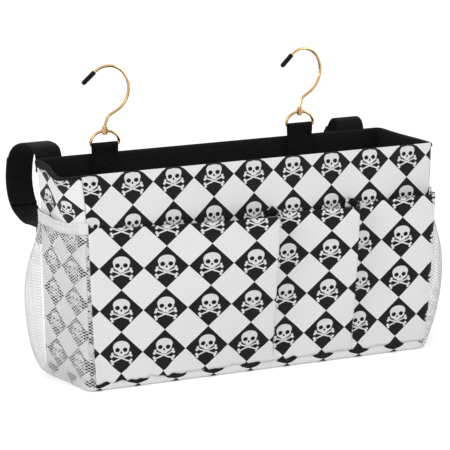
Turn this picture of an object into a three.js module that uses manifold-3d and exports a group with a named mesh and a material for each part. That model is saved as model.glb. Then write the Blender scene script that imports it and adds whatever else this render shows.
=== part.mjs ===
// Bedside caddy: a boxy fabric bag with a three-part front pocket, a net pocket at each end,
// two swivel hooks on D-rings and two hook-and-loop straps behind its back wall.
// Millimetres, +X to the right, +Y to the back, +Z up. The origin is the middle of the base.

import * as THREE from 'three';
import { LoftGeometry } from 'three/addons/geometries/LoftGeometry.js';
import { mergeVertices } from 'three/addons/utils/BufferGeometryUtils.js';
import Module from 'manifold-3d';

const wasm = await Module();
wasm.setup();

// The bag as a whole.
const BAG_WIDTH = 350;
const BAG_DEPTH = 95;
const BAG_HEIGHT = 190;
const END_TAPER = 5;
const WALL_TAPER = 1.5;
const CORNER_RADIUS = 7;
const SEAM_HEIGHT = 9;
const BASE_ROLL = 5;

// How far the walls stand out at half height and at the rim, and how far the rim sags.
const FRONT_BOW = 1.5;
const BACK_BOW = 1.5;
const END_BOW = 2;
const LEFT_RIM_BULGE = 7;
const RIGHT_RIM_BULGE = 1;
const LEFT_RIM_SAG = 5;
const RIGHT_RIM_SAG = 1;

// The layers of a wall, from the outside in.
const CLOTH = 0.8;
const STIFFENER = 2;
const LINING = 0.6;
const CLEARANCE = 0.3;
const HEM_HEIGHT = 6;
const HEM_STEP = 0.5;
const BASE_BOARD = 3;
const OVERRUN = 2;

// The front pocket, one sheet sewn down into a half and two quarters. Each compartment stands out
// most near its right seam and at its mouth.
const POCKET_LEFT_TOP = 143;
const POCKET_FIRST_SEAM_TOP = 140;
const POCKET_SECOND_SEAM_TOP = 141;
const POCKET_RIGHT_TOP = 146;
const LEFT_POCKET_WIDTH = 188;
const MIDDLE_POCKET_WIDTH = 82;
const LEFT_POCKET_PUFF = 14;
const MIDDLE_POCKET_PUFF = 10.5;
const RIGHT_POCKET_PUFF = 10;
const PUFF_PEAK_SHARE = 0.94;
const WIDE_POCKET_FULLNESS = 1.4;
const NARROW_POCKET_FULLNESS = 0.7;
const POCKET_SEAM_LEAN = 3;

// The net pockets on the end walls, and the elastic along their mouths.
const NET_TOP = 140;
const NET_THICKNESS = 1;
const NET_WIDEST_HEIGHT = 68;
const LEFT_NET_BULGE = 25;
const RIGHT_NET_BULGE = 30;
const NET_MOUTH_BULGE = 9;
const ELASTIC_HEIGHT = 10;
const ELASTIC_THICKNESS = 1.2;
const ELASTIC_SEAM_GAP = 0.6;
const MOUTH_SAG = 5;

// The webbing tabs that hold the rings.
const WEBBING_WIDTH = 25;
const WEBBING_THICKNESS = 1.2;
const TAB_FOLD_WIDTH = 24;
const TAB_NARROWING = 9;
const TAB_DROP = 30;
const LEFT_TAB_INSET = 64.3;
const RIGHT_TAB_INSET = 88.7;
const LEFT_TAB_RISE = 10;
const RIGHT_TAB_RISE = 12;

// The D-rings, with a bored boss on top for the hook to turn in.
const RING_WIRE = 2.6;
const RING_INNER_WIDTH = 25;
const RING_LEG = 3;
const RING_ARCH = 9.8;
const BOSS_DIAMETER = 5.8;
const BOSS_HEIGHT = 3.6;

// The swivel hooks.
const HOOK_WIRE = 2.6;
const HOOK_RADIUS = 21;
const HOOK_NECK = 9;
const HOOK_NECK_LEAN = 3.2;
const HOOK_CENTRE_RISE = 23.5;
const HOOK_COLLAR_DIAMETER = 4.4;
const HOOK_COLLAR_HEIGHT = 1.8;
const HOOK_HEAD_DIAMETER = 5;
const HOOK_HEAD_HEIGHT = 1.6;
const HOOK_BEND_RADIUS = 2.5;
const HOOK_ARC_END = 129;
const TIP_LENGTH = 15.5;
const TIP_DIAMETER = 4.3;
const TIP_WIRE_LENGTH = 11.5;
const LEFT_HOOK_TURN = 3;
const RIGHT_HOOK_TURN = 11;

// The hook-and-loop straps behind the back wall.
const STRAP_THICKNESS = 1.5;
const LEFT_STRAP_INSET = 13;
const RIGHT_STRAP_INSET = 29.5;
const LEFT_LOOP_DEPTH = 58;
const RIGHT_LOOP_DEPTH = 44;
const LOOP_RISE = 9.5;
const LOOP_DROP = 63;
const LOOP_STEPS = 44;
const ANCHOR_HEIGHT = 16;

const WEB_BLACK = 0x151515;
const LINING_BLACK = 0x1c1c1c;
const PRINT_WHITE = 0xe4e4e4;
const NET_WHITE = 0xf2f2f2;
const BOARD_GREY = 0x9a9488;
const WIRE_GOLD = 0xd8a45c;
const TIP_BLACK = 0x0c0c0c;

const STIFFENER_DEPTH = CLOTH + CLEARANCE;
const LINING_DEPTH = STIFFENER_DEPTH + STIFFENER + CLEARANCE;
const WALL_DEPTH = LINING_DEPTH + LINING;
const WALL_HEIGHT = BAG_HEIGHT - SEAM_HEIGHT;
const QUARTER_TURN = Math.PI / 2;
const HALF_CORNER = Math.PI / 4;
const UP = new THREE.Vector3(0, 0, 1);

const caddy = new THREE.Group();
caddy.name = 'bedside_caddy';

// The outlook of each material, shared by the pieces made of it.
const finishes = {
  print: { color: PRINT_WHITE, roughness: 0.85, metalness: 0 },
  lining: { color: LINING_BLACK, roughness: 0.9, metalness: 0 },
  webbing: { color: WEB_BLACK, roughness: 0.85, metalness: 0 },
  net: { color: NET_WHITE, roughness: 0.8, metalness: 0 },
  elastic: { color: NET_WHITE, roughness: 0.75, metalness: 0 },
  board: { color: BOARD_GREY, roughness: 0.9, metalness: 0 },
  gold: { color: WIRE_GOLD, roughness: 0.2, metalness: 1 },
  rubber: { color: TIP_BLACK, roughness: 0.6, metalness: 0 },
};

function addPiece(name, finish, geometry, parent = caddy) {
  const mesh = new THREE.Mesh(geometry, new THREE.MeshStandardMaterial(finishes[finish]));
  mesh.name = name;
  parent.add(mesh);
  return mesh;
}

// Evenly spaced numbers from one value to another, both ends included.
function spread(from, to, count) {
  return Array.from({ length: count + 1 }, (_, i) => from + ((to - from) * i) / count);
}

// A closed three.js geometry as a solid, for joining and cutting.
function toSolid(geometry) {
  const bare = new THREE.BufferGeometry();
  bare.setAttribute('position', geometry.attributes.position);
  bare.setIndex(geometry.index);
  const merged = mergeVertices(bare);
  return new wasm.Manifold(new wasm.Mesh({
    numProp: 3,
    vertProperties: new Float32Array(merged.attributes.position.array),
    triVerts: new Uint32Array(merged.index.array),
  }));
}

function toGeometry(solid) {
  const mesh = solid.getMesh();
  const geometry = new THREE.BufferGeometry();
  geometry.setAttribute('position', new THREE.BufferAttribute(mesh.vertProperties, 3));
  geometry.setIndex(new THREE.BufferAttribute(mesh.triVerts, 1));
  geometry.computeVertexNormals();
  return geometry;
}

// The four walls, each turned about Z from the front one. The soft end walls have no board.
const walls = [
  {
    panel: 'front_panel', stiffener: 'front_board', lining: 'front_lining',
    turn: 0, long: true, bow: FRONT_BOW, rimBulge: 0, rimSag: 0,
  },
  {
    panel: 'right_side_panel', lining: 'right_side_lining',
    turn: QUARTER_TURN, long: false, bow: END_BOW,
    rimBulge: RIGHT_RIM_BULGE, rimSag: RIGHT_RIM_SAG,
  },
  {
    panel: 'back_panel', stiffener: 'back_board', lining: 'back_lining',
    turn: 2 * QUARTER_TURN, long: true, bow: BACK_BOW, rimBulge: 0, rimSag: 0,
  },
  {
    panel: 'left_side_panel', lining: 'left_side_lining',
    turn: 3 * QUARTER_TURN, long: false, bow: END_BOW,
    rimBulge: LEFT_RIM_BULGE, rimSag: LEFT_RIM_SAG,
  },
];
const [frontWall, rightWall, backWall, leftWall] = walls;

function riseOf(height) {
  return (height - SEAM_HEIGHT) / WALL_HEIGHT;
}

// Half the length of a wall and its distance from the middle, at a share of the wall's height.
function wallSpan(wall, rise) {
  const halfWidth = BAG_WIDTH / 2 - END_TAPER * (1 - rise);
  const halfDepth = BAG_DEPTH / 2 - WALL_TAPER * (1 - rise);
  return wall.long ? { along: halfWidth, out: halfDepth } : { along: halfDepth, out: halfWidth };
}

// How far the cloth swells past the flat wall, at a place along it.
function wallSwell(wall, across, rise) {
  const middle = Math.max(0, 1 - across * across) ** 2;
  const height = THREE.MathUtils.clamp(rise, 0, 1);
  return middle * (wall.bow * Math.sin(Math.PI * height) + wall.rimBulge * height ** 3);
}

// A point on a wall. station is -1 to 1 along the straight run and up to 2 at the middle of a
// rounded corner, rise is 0 at the base seam and 1 at the rim, and depth is measured inwards.
function wallPoint(wall, station, rise, depth) {
  const { along, out } = wallSpan(wall, rise);
  const straight = along - CORNER_RADIUS;
  const bend = CORNER_RADIUS - depth;
  const corner = Math.max(0, Math.abs(station) - 1);
  const side = Math.sign(station);
  const run = corner > 0
    ? side * (straight + bend * Math.sin(corner * HALF_CORNER))
    : station * straight;
  const bare = out - CORNER_RADIUS + bend * Math.cos(corner * HALF_CORNER);
  const across = run / along;
  const outward = bare + wallSwell(wall, across, rise);
  const sag = wall.rimSag * Math.max(0, 1 - across * across) ** 2 * Math.max(0, rise) ** 4;
  const height = SEAM_HEIGHT + rise * WALL_HEIGHT - sag;
  const point = new THREE.Vector3(run, -outward, height);
  return point.applyAxisAngle(UP, wall.turn);
}

// The stations of a wall layer, stopped short of the corner so that neighbours keep a gap.
function wallStations(depth, straightSteps, cornerSteps) {
  const halfGap = CLEARANCE / 2 / ((CORNER_RADIUS - depth) * HALF_CORNER);
  const last = 2 - halfGap;
  const left = spread(-last, -1, cornerSteps);
  const middle = spread(-1, 1, straightSteps).slice(1, -1);
  return [...left, ...middle, ...spread(1, last, cornerSteps)];
}

// One level of a layer: along its outer face, then back along its inner face.
function wallSection(wall, stations, rise, outerDepth, innerDepth) {
  const outer = stations.map((station) => wallPoint(wall, station, rise, outerDepth));
  const inner = stations.map((station) => wallPoint(wall, station, rise, innerDepth));
  return [...outer, ...inner.reverse()];
}

const closedLoft = { capStart: true, capEnd: true };

// All layers of the walls bend at the same levels, so that they lie parallel.
const hemBottom = BAG_HEIGHT - HEM_HEIGHT;
const innerLevels = spread(SEAM_HEIGHT, hemBottom, 5).slice(1, -1);
const wallSteps = (wall) => (wall.long ? 10 : 8);

// Outer cloth with its rim turned in over the stiffener.
function panelGeometry(wall) {
  const stations = wallStations(CLOTH, wallSteps(wall), 2);
  const hemDepth = LINING_DEPTH - CLEARANCE;
  const sections = [SEAM_HEIGHT + CLEARANCE, ...innerLevels, hemBottom]
    .map((height) => wallSection(wall, stations, riseOf(height), 0, CLOTH));
  sections.push(wallSection(wall, stations, riseOf(hemBottom + HEM_STEP), 0, hemDepth));
  sections.push(wallSection(wall, stations, 1, 0, hemDepth));
  return new LoftGeometry(sections, closedLoft);
}

function layerGeometry(wall, levels, outerDepth, thickness) {
  const innerDepth = outerDepth + thickness;
  const stations = wallStations(innerDepth, wallSteps(wall), 2);
  const sections = levels
    .map((height) => wallSection(wall, stations, riseOf(height), outerDepth, innerDepth));
  return new LoftGeometry(sections, closedLoft);
}

const FLOOR_BOTTOM = CLOTH + CLEARANCE;
const FLOOR_LINING_BOTTOM = FLOOR_BOTTOM + BASE_BOARD + CLEARANCE;
const FLOOR_TOP = FLOOR_LINING_BOTTOM + LINING;

for (const wall of walls) {
  addPiece(wall.panel, 'print', panelGeometry(wall));
  if (wall.stiffener) {
    const boardLevels = [SEAM_HEIGHT + CLEARANCE, ...innerLevels, hemBottom - CLEARANCE];
    const board = layerGeometry(wall, boardLevels, STIFFENER_DEPTH, STIFFENER);
    addPiece(wall.stiffener, 'board', board);
  }
  const liningLevels = [FLOOR_TOP + CLEARANCE, ...innerLevels, hemBottom, BAG_HEIGHT];
  addPiece(wall.lining, 'lining', layerGeometry(wall, liningLevels, LINING_DEPTH, LINING));
}

// A closed ring round the base, drawn in by depth from the wall line, at a height.
function baseRing(depth, height) {
  const ring = [];
  for (const wall of walls) {
    const stations = [-2, -4 / 3, -1, 1, 4 / 3];
    for (const station of stations) {
      const point = wallPoint(wall, station, 0, depth);
      ring.push(point.setZ(height));
    }
  }
  return ring;
}

// The base cloth is a shallow dish: flat underneath, with a rounded edge up to the seam.
function baseGeometry() {
  const turns = spread(0, QUARTER_TURN, 4);
  const bowl = (radius) => turns.map((turn) => baseRing(
    BASE_ROLL - radius * Math.sin(turn),
    BASE_ROLL - radius * Math.cos(turn),
  ));
  const outside = [...bowl(BASE_ROLL), baseRing(0, SEAM_HEIGHT)];
  const hollow = [...bowl(BASE_ROLL - CLOTH), baseRing(CLOTH, SEAM_HEIGHT + OVERRUN)];
  const dish = toSolid(new LoftGeometry(outside, closedLoft))
    .subtract(toSolid(new LoftGeometry(hollow, closedLoft)));
  return toGeometry(dish);
}

function plateGeometry(depth, bottom, thickness) {
  return new LoftGeometry([baseRing(depth, bottom), baseRing(depth, bottom + thickness)], closedLoft);
}

addPiece('base_panel', 'print', baseGeometry());
addPiece('base_board', 'board', plateGeometry(BASE_ROLL, FLOOR_BOTTOM, BASE_BOARD));
addPiece('base_lining', 'lining', plateGeometry(LINING_DEPTH, FLOOR_LINING_BOTTOM, LINING));

// The front pocket lies on the front panel along its ends, its two seams and its lower edge,
// and stands out between them. A place along it is a run of cloth measured from the middle.
const frontStraight = BAG_WIDTH / 2 - CORNER_RADIUS;
const cornerRun = CORNER_RADIUS * HALF_CORNER;
const pocketEnd = frontStraight + cornerRun - CLEARANCE;
const firstSeam = LEFT_POCKET_WIDTH - BAG_WIDTH / 2;
const secondSeam = firstSeam + MIDDLE_POCKET_WIDTH;

// fullness is how early a compartment swells above its lower edge: 1 is evenly.
const compartments = [
  {
    from: -pocketEnd, to: firstSeam, steps: 12, puff: LEFT_POCKET_PUFF,
    fullness: WIDE_POCKET_FULLNESS, topFrom: POCKET_LEFT_TOP, topTo: POCKET_FIRST_SEAM_TOP,
  },
  {
    from: firstSeam, to: secondSeam, steps: 8, puff: MIDDLE_POCKET_PUFF,
    fullness: NARROW_POCKET_FULLNESS, topFrom: POCKET_FIRST_SEAM_TOP, topTo: POCKET_SECOND_SEAM_TOP,
  },
  {
    from: secondSeam, to: pocketEnd, steps: 10, puff: RIGHT_POCKET_PUFF,
    fullness: NARROW_POCKET_FULLNESS, topFrom: POCKET_SECOND_SEAM_TOP, topTo: POCKET_RIGHT_TOP,
  },
];

// Places across the pocket, closer together beside its seams, and one where each corner starts.
function pocketRuns() {
  const runs = [-pocketEnd, -frontStraight, frontStraight];
  for (const { from, to, steps } of compartments) {
    for (const turn of spread(0, Math.PI, steps).slice(1)) {
      runs.push(from + ((to - from) * (1 - Math.cos(turn))) / 2);
    }
  }
  return runs.sort((a, b) => a - b);
}

function stationAt(run) {
  const past = Math.abs(run) - frontStraight;
  return past > 0 ? Math.sign(run) * (1 + past / cornerRun) : run / frontStraight;
}

function puffShare(across) {
  return across < PUFF_PEAK_SHARE
    ? Math.sin((QUARTER_TURN * across) / PUFF_PEAK_SHARE) ** 2
    : 1 - ((across - PUFF_PEAK_SHARE) / (1 - PUFF_PEAK_SHARE)) ** 2;
}

function pocketSection(runs, share) {
  const bottom = SEAM_HEIGHT + CLEARANCE;
  const face = (thickness) => runs.map((run) => {
    const home = compartments.find(({ to }) => run <= to) ?? compartments.at(-1);
    const across = (run - home.from) / (home.to - home.from);
    const puff = home.puff * puffShare(across) * Math.sin(QUARTER_TURN * share) ** home.fullness;
    const lean = POCKET_SEAM_LEAN * (1 - share) * Math.max(0, 1 - (run / frontStraight) ** 2);
    const top = THREE.MathUtils.lerp(home.topFrom, home.topTo, across);
    const rise = riseOf(THREE.MathUtils.lerp(bottom, top, share));
    return wallPoint(frontWall, stationAt(run - lean), rise, -(CLEARANCE + puff + thickness));
  });
  return [...face(CLOTH), ...face(0).reverse()];
}

const pocketShares = [0, 0.06, 0.15, 0.3, 0.5, 0.75, 1];
const pocketSections = pocketShares.map((share) => pocketSection(pocketRuns(), share));
addPiece('front_pocket', 'print', new LoftGeometry(pocketSections, closedLoft));

// How far a net pocket stands out at a height, as a share of its bulge.
function netSwell(height, bulge) {
  const reach = height < NET_WIDEST_HEIGHT
    ? Math.sqrt(1 - ((NET_WIDEST_HEIGHT - height) / (NET_WIDEST_HEIGHT - SEAM_HEIGHT)) ** 2)
    : 1 - (1 - NET_MOUTH_BULGE / bulge)
      * ((height - NET_WIDEST_HEIGHT) / (NET_TOP - NET_WIDEST_HEIGHT)) ** 2;
  return bulge * reach;
}

function netSection(wall, height, swell, thickness) {
  const end = 2 - CLEARANCE / cornerRun;
  const stations = spread(-end, end, 14);
  const sagShare = Math.min(1, height / NET_TOP) ** 6;
  const face = (extra) => stations.map((station) => {
    const across = station / end;
    const out = swell * (1 - Math.abs(across) ** 3);
    const sag = MOUTH_SAG * (1 - across ** 2) * sagShare;
    return wallPoint(wall, station, riseOf(height - sag), -(CLEARANCE + out + extra));
  });
  return [...face(thickness), ...face(0).reverse()];
}

function netGeometry(wall, bulge) {
  const drop = NET_WIDEST_HEIGHT - SEAM_HEIGHT;
  const lower = spread(0, QUARTER_TURN, 5).map((turn) => NET_WIDEST_HEIGHT - drop * Math.cos(turn));
  lower[0] += CLEARANCE;
  const upper = spread(NET_WIDEST_HEIGHT, NET_TOP, 4).slice(1);
  const sections = [...lower, ...upper]
    .map((height) => netSection(wall, height, netSwell(height, bulge), NET_THICKNESS));
  return new LoftGeometry(sections, closedLoft);
}

function elasticGeometry(wall) {
  const bottom = NET_TOP + ELASTIC_SEAM_GAP;
  const sections = [bottom, bottom + ELASTIC_HEIGHT]
    .map((height) => netSection(wall, height, NET_MOUTH_BULGE, ELASTIC_THICKNESS));
  return new LoftGeometry(sections, closedLoft);
}

addPiece('left_net_pocket', 'net', netGeometry(leftWall, LEFT_NET_BULGE));
addPiece('right_net_pocket', 'net', netGeometry(rightWall, RIGHT_NET_BULGE));
addPiece('left_pocket_elastic', 'elastic', elasticGeometry(leftWall));
addPiece('right_pocket_elastic', 'elastic', elasticGeometry(rightWall));

// A flat band along a path in the YZ plane. shift moves it off the path to its outer side.
function ribbonGeometry(path, middleX, widthAt, thickness, shift = 0) {
  const sections = path.map((point, i) => {
    const before = path[Math.max(0, i - 1)];
    const after = path[Math.min(path.length - 1, i + 1)];
    const tangent = after.clone().sub(before).normalize();
    const normal = new THREE.Vector2(tangent.y, -tangent.x);
    const half = widthAt(point) / 2;
    const corner = (side, off) => new THREE.Vector3(
      middleX + side * half,
      point.x + normal.x * (shift + off),
      point.y + normal.y * (shift + off),
    );
    const low = -thickness / 2;
    const high = thickness / 2;
    return [corner(1, low), corner(-1, low), corner(-1, high), corner(1, high)].reverse();
  });
  return new LoftGeometry(sections, closedLoft);
}

// A webbing tab: two plies against the back lining, folded over the bar of its ring.
const barLoopRadius = RING_WIRE / 2 + CLEARANCE + WEBBING_THICKNESS / 2;
const tabY = BAG_DEPTH / 2 - WALL_DEPTH - CLEARANCE - WEBBING_THICKNESS - CLEARANCE / 2;

function foldHeightToBar(rise) {
  return BAG_HEIGHT + rise - barLoopRadius - WEBBING_THICKNESS / 2;
}

function tabGeometry(middleX, rise) {
  const barZ = foldHeightToBar(rise);
  const plyOffset = (WEBBING_THICKNESS + CLEARANCE) / 2;
  const bottom = BAG_HEIGHT - TAB_DROP;
  const plyTop = barZ - TAB_NARROWING;
  const ply = [bottom, plyTop].map((z) => new THREE.Vector2(plyOffset, z));
  const flare = new THREE.CubicBezierCurve(
    ply[1],
    new THREE.Vector2(plyOffset, plyTop + TAB_NARROWING / 2),
    new THREE.Vector2(barLoopRadius, barZ - TAB_NARROWING / 2),
    new THREE.Vector2(barLoopRadius, barZ),
  ).getPoints(4).slice(1);
  const backHalf = [...ply, ...flare];
  const over = spread(0, Math.PI, 8).slice(1, -1).map((turn) => new THREE.Vector2(
    barLoopRadius * Math.cos(turn),
    barZ + barLoopRadius * Math.sin(turn),
  ));
  const mirrored = backHalf.toReversed().map((point) => new THREE.Vector2(-point.x, point.y));
  const path = [...backHalf, ...over, ...mirrored];
  const placed = path.map((point) => new THREE.Vector2(point.x + tabY, point.y));
  const widthAt = (point) => {
    const share = THREE.MathUtils.clamp((point.y - plyTop) / TAB_NARROWING, 0, 1);
    return THREE.MathUtils.lerp(WEBBING_WIDTH, TAB_FOLD_WIDTH, share);
  };
  return ribbonGeometry(placed, middleX, widthAt, WEBBING_THICKNESS);
}

// The ring's centre line: a straight bar, two short legs and a half-oval arch above them.
function ringOutline() {
  const half = RING_INNER_WIDTH / 2 + RING_WIRE / 2;
  const outline = new THREE.Path();
  const bend = RING_WIRE;
  outline.moveTo(0, 0);
  outline.lineTo(half - bend, 0);
  outline.quadraticCurveTo(half, 0, half, bend);
  outline.lineTo(half, RING_LEG);
  outline.absellipse(0, RING_LEG, half, RING_ARCH, 0, Math.PI, false);
  outline.lineTo(-half, bend);
  outline.quadraticCurveTo(-half, 0, -half + bend, 0);
  outline.lineTo(0, 0);
  return outline;
}

const archTop = RING_LEG + RING_ARCH;
const wireRadius = HOOK_WIRE / 2;

function ringGeometry() {
  const points = ringOutline().getSpacedPoints(40).slice(0, -1)
    .map((point) => new THREE.Vector3(point.x, 0, point.y));
  const path = new THREE.CatmullRomCurve3(points, true);
  const wire = new THREE.TubeGeometry(path, 40, RING_WIRE / 2, 8, true);
  const boss = new THREE.CylinderGeometry(BOSS_DIAMETER / 2, BOSS_DIAMETER / 2, BOSS_HEIGHT, 16);
  boss.rotateX(QUARTER_TURN).translate(0, 0, archTop);
  const boreRadius = wireRadius + CLEARANCE;
  const bore = new THREE.CylinderGeometry(boreRadius, boreRadius, 2 * BOSS_HEIGHT, 16);
  bore.rotateX(QUARTER_TURN).translate(0, 0, archTop);
  return toGeometry(toSolid(wire).add(toSolid(boss)).subtract(toSolid(bore)));
}

// The hook's wire, in its own XZ plane with the ring's boss at the origin: up the swivel shank,
// along the leaning neck, round the bend, off on the tangent and round the open circle.
const collarBottom = BOSS_HEIGHT / 2 + CLEARANCE;
const collarTop = collarBottom + HOOK_COLLAR_HEIGHT;
const headTop = -collarBottom;
const kink = new THREE.Vector2(HOOK_NECK_LEAN, collarTop + HOOK_NECK);
const hookCentre = new THREE.Vector2(kink.x, kink.y + HOOK_CENTRE_RISE);

// Where the straight lead from the neck meets the circle, and where the circle lets go again.
const hookArcStart = -Math.asin(HOOK_RADIUS / HOOK_CENTRE_RISE);
const hookArcEnd = THREE.MathUtils.degToRad(HOOK_ARC_END);
const tipDirection = new THREE.Vector2(-Math.sin(hookArcEnd), Math.cos(hookArcEnd));

function onHook(turn) {
  return new THREE.Vector2(Math.cos(turn), Math.sin(turn)).multiplyScalar(HOOK_RADIUS).add(hookCentre);
}

function hookWirePoints() {
  const neck = kink.clone().sub(new THREE.Vector2(0, collarTop)).normalize();
  const lead = onHook(hookArcStart).sub(kink).normalize();
  const bendStart = kink.clone().addScaledVector(neck, -HOOK_BEND_RADIUS);
  const bendEnd = kink.clone().addScaledVector(lead, HOOK_BEND_RADIUS);
  const wire = new THREE.Path();
  wire.moveTo(0, headTop);
  wire.lineTo(0, collarTop);
  wire.lineTo(bendStart.x, bendStart.y);
  wire.quadraticCurveTo(kink.x, kink.y, bendEnd.x, bendEnd.y);
  wire.absarc(hookCentre.x, hookCentre.y, HOOK_RADIUS, hookArcStart, hookArcEnd, false);
  const end = onHook(hookArcEnd).addScaledVector(tipDirection, TIP_WIRE_LENGTH);
  wire.lineTo(end.x, end.y);
  return wire.getPoints(12).map((point) => new THREE.Vector3(point.x, 0, point.y));
}

function hookGeometry() {
  const section = new THREE.Shape().absarc(0, 0, wireRadius, 0, 2 * Math.PI, false);
  const path = new THREE.CatmullRomCurve3(hookWirePoints(), false, 'centripetal');
  const wire = new THREE.ExtrudeGeometry(section, {
    extrudePath: path, steps: 52, curveSegments: 4,
  });
  const head = new THREE.LatheGeometry([
    new THREE.Vector2(0, headTop - HOOK_HEAD_HEIGHT),
    new THREE.Vector2(HOOK_HEAD_DIAMETER / 4, headTop - HOOK_HEAD_HEIGHT),
    new THREE.Vector2(HOOK_HEAD_DIAMETER / 2, headTop - HOOK_HEAD_HEIGHT / 2),
    new THREE.Vector2(HOOK_HEAD_DIAMETER / 2, headTop),
    new THREE.Vector2(0, headTop),
  ], 12);
  const shank = new THREE.CylinderGeometry(wireRadius, wireRadius, collarTop - headTop + CLEARANCE, 12);
  shank.translate(0, (collarTop + headTop) / 2, 0);
  const collar = new THREE.CylinderGeometry(
    HOOK_COLLAR_DIAMETER / 2, HOOK_COLLAR_DIAMETER / 2, HOOK_COLLAR_HEIGHT, 12,
  );
  collar.translate(0, collarBottom + HOOK_COLLAR_HEIGHT / 2, 0);
  let solid = toSolid(wire);
  for (const part of [head, shank, collar]) {
    part.rotateX(QUARTER_TURN);
    solid = solid.add(toSolid(part));
  }
  return toGeometry(solid);
}

// The rubber tip is a sleeve with a round closed end, pushed over the straight end of the wire.
function tipGeometry() {
  const outer = TIP_DIAMETER / 2;
  const inner = wireRadius + CLEARANCE;
  const bore = TIP_WIRE_LENGTH + CLEARANCE;
  const profile = [
    new THREE.Vector2(0, bore),
    new THREE.Vector2(inner, bore),
    new THREE.Vector2(inner, CLEARANCE),
    new THREE.Vector2(outer, CLEARANCE),
    new THREE.Vector2(outer, TIP_LENGTH - outer),
    new THREE.Vector2(outer * Math.cos(HALF_CORNER), TIP_LENGTH - outer * (1 - Math.sin(HALF_CORNER))),
    new THREE.Vector2(0, TIP_LENGTH),
  ];
  return new THREE.LatheGeometry(profile, 12);
}

// One fitting: the tab, the ring on it, and the hook with its tip turned about the ring's boss.
const fittings = [
  {
    side: 'left', x: LEFT_TAB_INSET - BAG_WIDTH / 2, rise: LEFT_TAB_RISE,
    turn: THREE.MathUtils.degToRad(LEFT_HOOK_TURN),
  },
  {
    side: 'right', x: BAG_WIDTH / 2 - RIGHT_TAB_INSET, rise: RIGHT_TAB_RISE,
    turn: THREE.MathUtils.degToRad(RIGHT_HOOK_TURN),
  },
];

for (const { side, x, rise, turn } of fittings) {
  addPiece(`${side}_ring_tab`, 'webbing', tabGeometry(x, rise));
  const ringPlace = new THREE.Group();
  ringPlace.position.set(x, tabY, foldHeightToBar(rise));
  caddy.add(ringPlace);
  addPiece(`${side}_d_ring`, 'gold', ringGeometry(), ringPlace);
  const hookPlace = new THREE.Group();
  hookPlace.position.set(0, 0, archTop);
  hookPlace.rotation.z = turn;
  ringPlace.add(hookPlace);
  addPiece(`${side}_hook`, 'gold', hookGeometry(), hookPlace);
  const tip = addPiece(`${side}_hook_tip`, 'rubber', tipGeometry(), hookPlace);
  const wireEnd = onHook(hookArcEnd);
  tip.position.set(wireEnd.x, 0, wireEnd.y);
  const direction = new THREE.Vector3(tipDirection.x, 0, tipDirection.y);
  tip.quaternion.setFromUnitVectors(new THREE.Vector3(0, 1, 0), direction);
}

// The straps' loops behind the back wall, from the sewn end at the rim over the top, down the
// back and round towards the lower seam, as shares of the loop's depth and of its height.
const LEFT_LOOP_SHARES = [
  [0, 0.69], [0, 0.78], [0.005, 0.86], [0.04, 0.93], [0.12, 0.98], [0.3, 1], [0.52, 0.98],
  [0.76, 0.9], [0.92, 0.77], [0.985, 0.6], [1, 0.42], [0.95, 0.26], [0.84, 0.13], [0.64, 0.045],
  [0.42, 0], [0.2, 0.01],
];
const RIGHT_LOOP_SHARES = [
  [0, 0.69], [0, 0.78], [0.005, 0.87], [0.05, 0.94], [0.14, 0.985], [0.3, 1], [0.44, 0.96],
  [0.56, 0.87], [0.77, 0.7], [0.93, 0.53], [1, 0.37], [0.96, 0.22], [0.8, 0.1], [0.56, 0.03],
  [0.3, 0.01],
];
const LOOP_END_SHARE = 0.012;
const loopHeight = LOOP_RISE + LOOP_DROP;
const lapShift = STRAP_THICKNESS + CLEARANCE;
const strapSeatY = BAG_DEPTH / 2 + CLEARANCE + STRAP_THICKNESS / 2;

// The strap's middle line. It ends just clear of the patch that its lower end is sewn to.
function loopPath(shares, depth) {
  const bottom = BAG_HEIGHT - LOOP_DROP + STRAP_THICKNESS / 2 + lapShift;
  const height = loopHeight - STRAP_THICKNESS - lapShift;
  const points = shares.map(([out, up]) => new THREE.Vector2(
    strapSeatY + out * (depth - STRAP_THICKNESS - lapShift),
    bottom + up * height,
  ));
  const endY = strapSeatY + STRAP_THICKNESS / 2 + CLEARANCE;
  points.push(new THREE.Vector2(endY, bottom + LOOP_END_SHARE * height));
  return new THREE.SplineCurve(points).getSpacedPoints(LOOP_STEPS);
}

// The lower strap's sewn end: a patch flat on the back panel, level with where the strap leaves.
function anchorPath(path) {
  const top = path.at(-1).y - lapShift + STRAP_THICKNESS / 2;
  return [top - ANCHOR_HEIGHT, top].map((z) => new THREE.Vector2(strapSeatY, z));
}

// The upper strap lies inside the lower one where they lap, over these parts of the loop.
const straps = [
  {
    side: 'left', x: LEFT_STRAP_INSET - BAG_WIDTH / 2, depth: LEFT_LOOP_DEPTH, shares: LEFT_LOOP_SHARES,
    upperEndShare: 0.7, lowerEndShare: 0.45,
  },
  {
    side: 'right', x: BAG_WIDTH / 2 - RIGHT_STRAP_INSET, depth: RIGHT_LOOP_DEPTH, shares: RIGHT_LOOP_SHARES,
    upperEndShare: 0.69, lowerEndShare: 0.33,
  },
];

for (const { side, x, depth, shares, upperEndShare, lowerEndShare } of straps) {
  const width = () => WEBBING_WIDTH;
  const path = loopPath(shares, depth);
  const upper = path.slice(0, Math.round(upperEndShare * LOOP_STEPS) + 1);
  const lower = path.slice(Math.round(lowerEndShare * LOOP_STEPS)).reverse();
  addPiece(`${side}_upper_strap`, 'webbing', ribbonGeometry(upper, x, width, STRAP_THICKNESS));
  addPiece(`${side}_lower_strap`, 'webbing', ribbonGeometry(
    lower, x, width, STRAP_THICKNESS, lapShift,
  ));
  addPiece(`${side}_strap_anchor`, 'webbing', ribbonGeometry(
    anchorPath(path), x, width, STRAP_THICKNESS,
  ));
}

export default caddy;
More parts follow.
